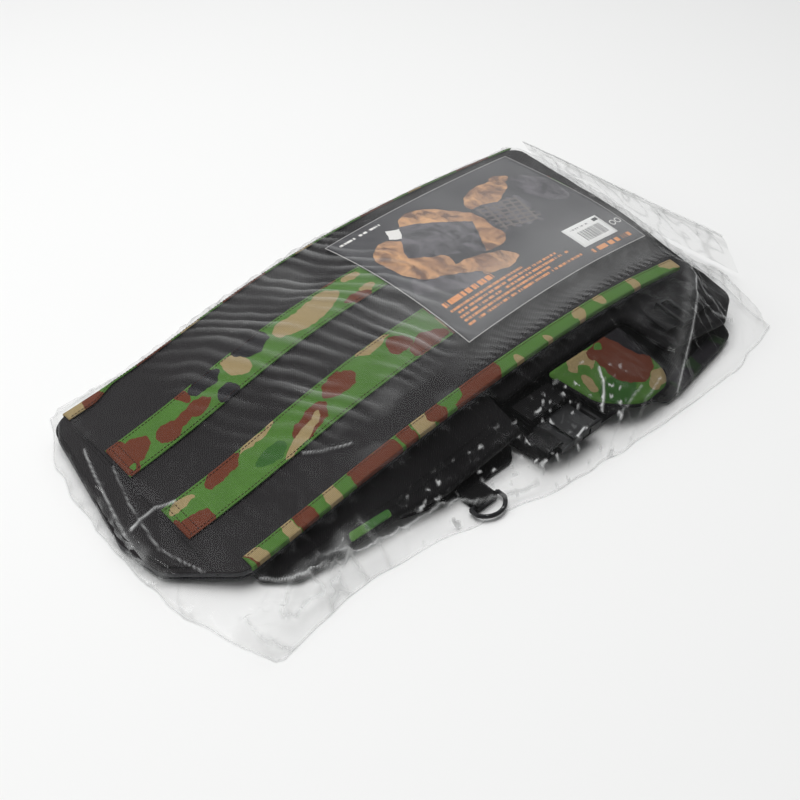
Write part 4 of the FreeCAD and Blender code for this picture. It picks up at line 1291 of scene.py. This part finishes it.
def sheen_and_milk_share(x, y):
    """Whitish share of the front film: faint haze and tight folds, plus painted sheen and glints."""
    haze = 0.006 + 0.006 * field(x, y, 60, 101.0)
    # Painted sheen along the pleats over the panel, in place of their reflections.
    pleats = 0.24 * streaks(x, y) * (0.45 + 0.55 * ramp(x, -200, -60))
    # Painted hazy reflection in blotches over the top of the panel.
    panel = ramp(x, -170, -40) * ramp(y, -60, -30)
    panel_sheen = 0.05 * panel * ramp(field(x, y, 50, 102.0), -0.3, 0.4)
    # Painted hazy reflection in a band beside the near edge tape, its lower edge toothed.
    ragged = -75 + 10 * teeth(x, y)
    band_area = ramp(y - ragged, -1.5, 1.5) * ramp(y, 30, -20) * ramp(x, -60, 20) * ramp(x, 262, 236)
    band = 0.15 * band_area * (0.85 + 0.3 * field(x, y, 40, 103.0))
    # Painted hazy reflection in streaky patches over the panel.
    patch_area = ramp(x, -160, -120) * ramp(x, -10, -40) * ramp(y, -34, -44) * ramp(y, -82, -74)
    patch = 0.06 * patch_area * ramp(field(x, y, 24, 104.0, (1.6, 0.8)), 0.0, 0.35)
    # Painted hazy reflection over the card.
    over_card = 0.035 * ramp(x, 20, 60) * ramp(y, -30, 0)
    # Painted glints: small bright spots on the crinkled film hanging at the near side.
    glint_spots = ramp(field(x, y, 4.5, 105.0, (1.3, 0.8)), 0.3, 0.5)
    glint_area = ramp(y, -112, -124) * ramp(x, -165, -140) * ramp(x, 110, 60)
    sparkles = 0.8 * glint_spots * ramp(field(x, y, 20, 106.0), -0.1, 0.2) * glint_area
    # Film beyond the vest: an even haze of its own, with painted highlights along its crinkles.
    ends = ramp(x, -300, -316) + ramp(x, 268, 285) + ramp(y, 150, 160)
    outside = np.clip(ends + crumpled(x, y), 0, 1)
    margin = outside * (0.07 + 0.4 * ridges(x, y, 22, 107.0, sharpness=5.0))
    milk = haze + pleats + panel_sheen + band + patch + over_card + sparkles + margin
    broken = 0.35 + 0.65 * ramp(field(x, y, 14, 108.0), -0.5, 0.1)
    # Tight folds: partly the film's own whitening, partly a painted highlight along each fold.
    for half, strength, line in CREASES:
        milk += strength * broken * np.exp(-((near_line(x, y, line) / half) ** 2))
    return np.clip(milk, 0.0, 0.95)


def sheen_and_milk_layer(obj, values):
    """Store the film's whitish share, painted sheen and glints included, on its vertices for its
    shader.
    """
    layer = obj.data.attributes.new("milk", "FLOAT", "POINT")
    layer.data.foreach_set("value", np.ravel(values).astype(np.float32))


def sheet_of(name, x, y, z, look, body, replaces=()):
    """Single-layer film over grids of x, y and z."""
    points = np.column_stack([x.ravel(), y.ravel(), z.ravel()])
    return mesh_piece(name, points, grid_faces(*x.shape), look, body, replaces)


def collapses(obj):
    """Give the film its own copy of its mesh data."""
    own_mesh(obj)


def film_base(vest_top):
    """Smooth height of the film over the vest: it bridges steps and falls away like a tent."""
    over = np.where(vest_top > 0, vest_top + 1.0, TABLE_GAP)
    for _ in range(3):
        over = np.maximum.reduce([shifted(over, dx, dy) for dx in (-1, 0, 1) for dy in (-1, 0, 1)])
    share = ramp(GRID_Y, -60, -100)[None, :] + ramp(GRID_X, -230, -270)[:, None]
    share = np.clip(share, 0, 1)
    base = blurred(tented(over, 2.2) * (1 - share) + tented(over, 0.8) * share, 14)
    return blurred(np.maximum(base, vest_top + 0.6), 2)


def film_front(vest_top):
    """Upper film: draped over the vest, and flat along its welded rim."""
    x, y, u, v = bag_outline_grid(1.6)
    stand = bilinear(film_base(vest_top), x, y)
    below = bilinear(vest_top, x, y)
    rim = np.minimum.reduce(
        [u * BAG_LENGTH, (1 - u) * BAG_LENGTH, v * BAG_WIDTH, (1 - v) * BAG_WIDTH]
    )
    edge = ramp(rim, 0, 14)
    ripple = 1.2 + 1.6 * np.clip(field(x, y, 26, 71.0), 0, 1)
    z = (stand + wrinkles(x, y, stand - below)) * edge + ripple * (1 - edge)
    z = np.maximum(z, below + 0.5)
    obj = sheet_of("film_front", x, y, z, "film", "bag", ["bag_front_film"])
    sheen_and_milk_layer(obj, sheen_and_milk_share(x, y) + 0.5 * ramp(rim, 1.6, 0.0))
    collapses(obj)


def film_back():
    """Lower film, flat on the table."""
    x, y, _, _ = bag_outline_grid(6.0)
    z = 0.25 + 0.2 * np.clip(field(x, y, 30, 81.0), -1, 1)
    obj = sheet_of("film_back", x, y, z, "film_back", "bag", ["bag_back_film"])


FOLD_X, FOLD_Z = 326.5, 5.2
FLAP_LEAN = math.radians(51.5)
FLAP_REACH = 53.0 / math.cos(FLAP_LEAN)


def flap_grid():
    """Shares along the closing flap, and x, y and z of its grid over the sloping end."""
    s, y = np.meshgrid(np.linspace(0, 1, 44), np.linspace(-105, 145, 126), indexing="ij")
    sag = 2.0 * ridges(y, s * 80, 30, 91.0, sharpness=1.4) + 1.0 * field(y, s * 80, 14, 92.0)
    sag *= np.sin(math.pi * np.clip(s, 0.02, 1)) * 0.8 + 0.2
    lift = sag + 3.0 * field(y, y * 0, 60, 93.0) * s
    length = FLAP_REACH * s
    x = FOLD_X - length * math.cos(FLAP_LEAN) + lift * math.sin(FLAP_LEAN)
    z = FOLD_Z + length * math.sin(FLAP_LEAN) + lift * math.cos(FLAP_LEAN) * 0.4
    return s, x, y, z


def film_flap():
    """Closing flap folded back over the sloping end, with a bead along its free edge."""
    s, x, y, z = flap_grid()
    obj = sheet_of("film_flap", x, y, z, "film_flap", "bag_closure", ["bag_flap"])
    doubled = ramp(s, 0.62, 0.7) * ramp(field(s * 80, y, 22, 94.0), -0.5, 0.2)
    # Painted highlights: thin bright lines along the flap's folds; the doubled film above is its own
    # whitening.
    lines = ridges(y, s * 80, 18, 95.0, (1, 1.8), 8.0)
    sheen_and_milk_layer(obj, 0.02 + 0.12 * doubled + 0.35 * lines)
    collapses(obj)
    around, radius = 8, 0.8
    bead = []
    for px, py, pz in zip(x[-1], y[-1], z[-1]):
        for k in range(around):
            a = 2 * math.pi * k / around
            bead.append((px + radius * math.cos(a), py, pz + radius * math.sin(a)))
    faces = tube_faces(y.shape[1], around, capped=False)
    collapses(mesh_piece("film_flap_edge", bead, faces, "film_edge", "bag_closure"))


def adhesive_band():
    """Strip of glue under the closing flap, near its free edge."""
    s, x, y, z = flap_grid()
    band = (s > 0.86) & (s < 0.97) & (y > -95) & (y < 135)
    cells = np.ix_(np.flatnonzero(band.any(1)), np.flatnonzero(band.any(0)))
    strip = sheet_of("adhesive_band", x[cells] - 0.25, y[cells], z[cells] - 0.25, "strip",
                     "bag_closure", ["flap_adhesive_strip"])
    collapses(strip)


UNDER_FILM_SKIPPED = ("film", "bag_", "flap_adhesive", "stitch", "seam")


def under_film():
    """Every piece that the film lies on."""
    meshes = [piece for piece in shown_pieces() if piece.type == "MESH"]
    return [m for m in meshes if not any(word in m.name for word in UNDER_FILM_SKIPPED)]


bpy.context.view_layer.update()
film_front(height_map(under_film()))
film_back()
film_flap()
adhesive_band()

# ------------------------------------------------------------------ stage, lights and camera


def floor():
    """Pale seamless floor."""
    s = Shader("pale_floor", (0.87, 0.87, 0.86), 0.9, Specular_IOR_Level=0.1)
    s.finish(s.mix(s.noise(s.position(), 900.0), (0.86, 0.86, 0.85), (0.88, 0.88, 0.87)))
    bpy.ops.mesh.primitive_plane_add(size=14)
    plane = bpy.context.object
    plane.name = "floor"
    plane.data.materials.append(s.material)


def aimed(name, data, place, aim):
    """Object that looks from a place towards its aim."""
    obj = bpy.data.objects.new(name, data)
    bpy.context.scene.collection.objects.link(obj)
    obj.location = place
    obj.rotation_mode = "QUATERNION"
    obj.rotation_quaternion = (Vector(aim) - Vector(place)).to_track_quat("-Z", "Y")
    return obj


def lamp(name, place, aim, size, power, mirrored=True):
    """Square soft light; mirrored says whether glossy surfaces show it."""
    data = bpy.data.lights.new(name, "AREA")
    data.shape = "SQUARE"
    data.size = size
    data.energy = power
    aimed(name, data, place, aim).visible_glossy = mirrored


def eased(tree, value, low, high, start, end):
    """World node value eased from start to end while value goes from low to high."""
    node = tree.nodes.new("ShaderNodeMapRange")
    node.interpolation_type = "SMOOTHSTEP"
    limits = {"From Min": low, "From Max": high, "To Min": start, "To Max": end}
    for socket, limit in limits.items():
        node.inputs[socket].default_value = limit
    tree.links.new(value, node.inputs["Value"])
    return node.outputs["Result"]


def studio_world():
    """Dim neutral surroundings, darker towards the viewer, with a pale reflector at the back."""
    world = bpy.data.worlds.new("Studio")
    world.use_nodes = True
    tree = world.node_tree
    toward = tree.nodes.new("ShaderNodeTexCoord").outputs["Generated"]
    dot = tree.nodes.new("ShaderNodeVectorMath")
    dot.operation = "DOT_PRODUCT"
    dot.inputs[1].default_value = Vector((0.53, 0.38, 0.76)).normalized()
    tree.links.new(toward, dot.inputs[0])
    reflector = eased(tree, dot.outputs["Value"], 0.80, 0.96, 0.0, 0.75)
    parts = tree.nodes.new("ShaderNodeSeparateXYZ")
    tree.links.new(toward, parts.inputs[0])
    backdrop = eased(tree, parts.outputs["Y"], -0.35, 0.35, 0.1, 0.4)
    total = tree.nodes.new("ShaderNodeMath")
    tree.links.new(reflector, total.inputs[0])
    tree.links.new(backdrop, total.inputs[1])
    background = tree.nodes["Background"]
    background.inputs["Color"].default_value = (0.97, 0.98, 1.0, 1)
    tree.links.new(total.outputs[0], background.inputs["Strength"])
    bpy.context.scene.world = world


def camera():
    """Camera at the near left, 42 degrees above the table."""
    data = bpy.data.cameras.new("Camera")
    data.lens = 45
    data.sensor_width = 36
    data.clip_end = 50
    place = Vector((-482.1, -488.3, 580.7)) * MM
    bpy.context.scene.camera = aimed("Camera", data, place, Vector((-70, -37, 30.4)) * MM)


floor()
lamp("overhead", (-0.1, 0.5, 2.6), (0, 0.1, 0.03), 1.8, 52, False)
lamp("left", (-1.9, 0.9, 1.3), (0, 0, 0.03), 0.9, 9)
studio_world()
camera()
bpy.context.scene.view_settings.view_transform = "Standard"

bpy.context.view_layer.update()
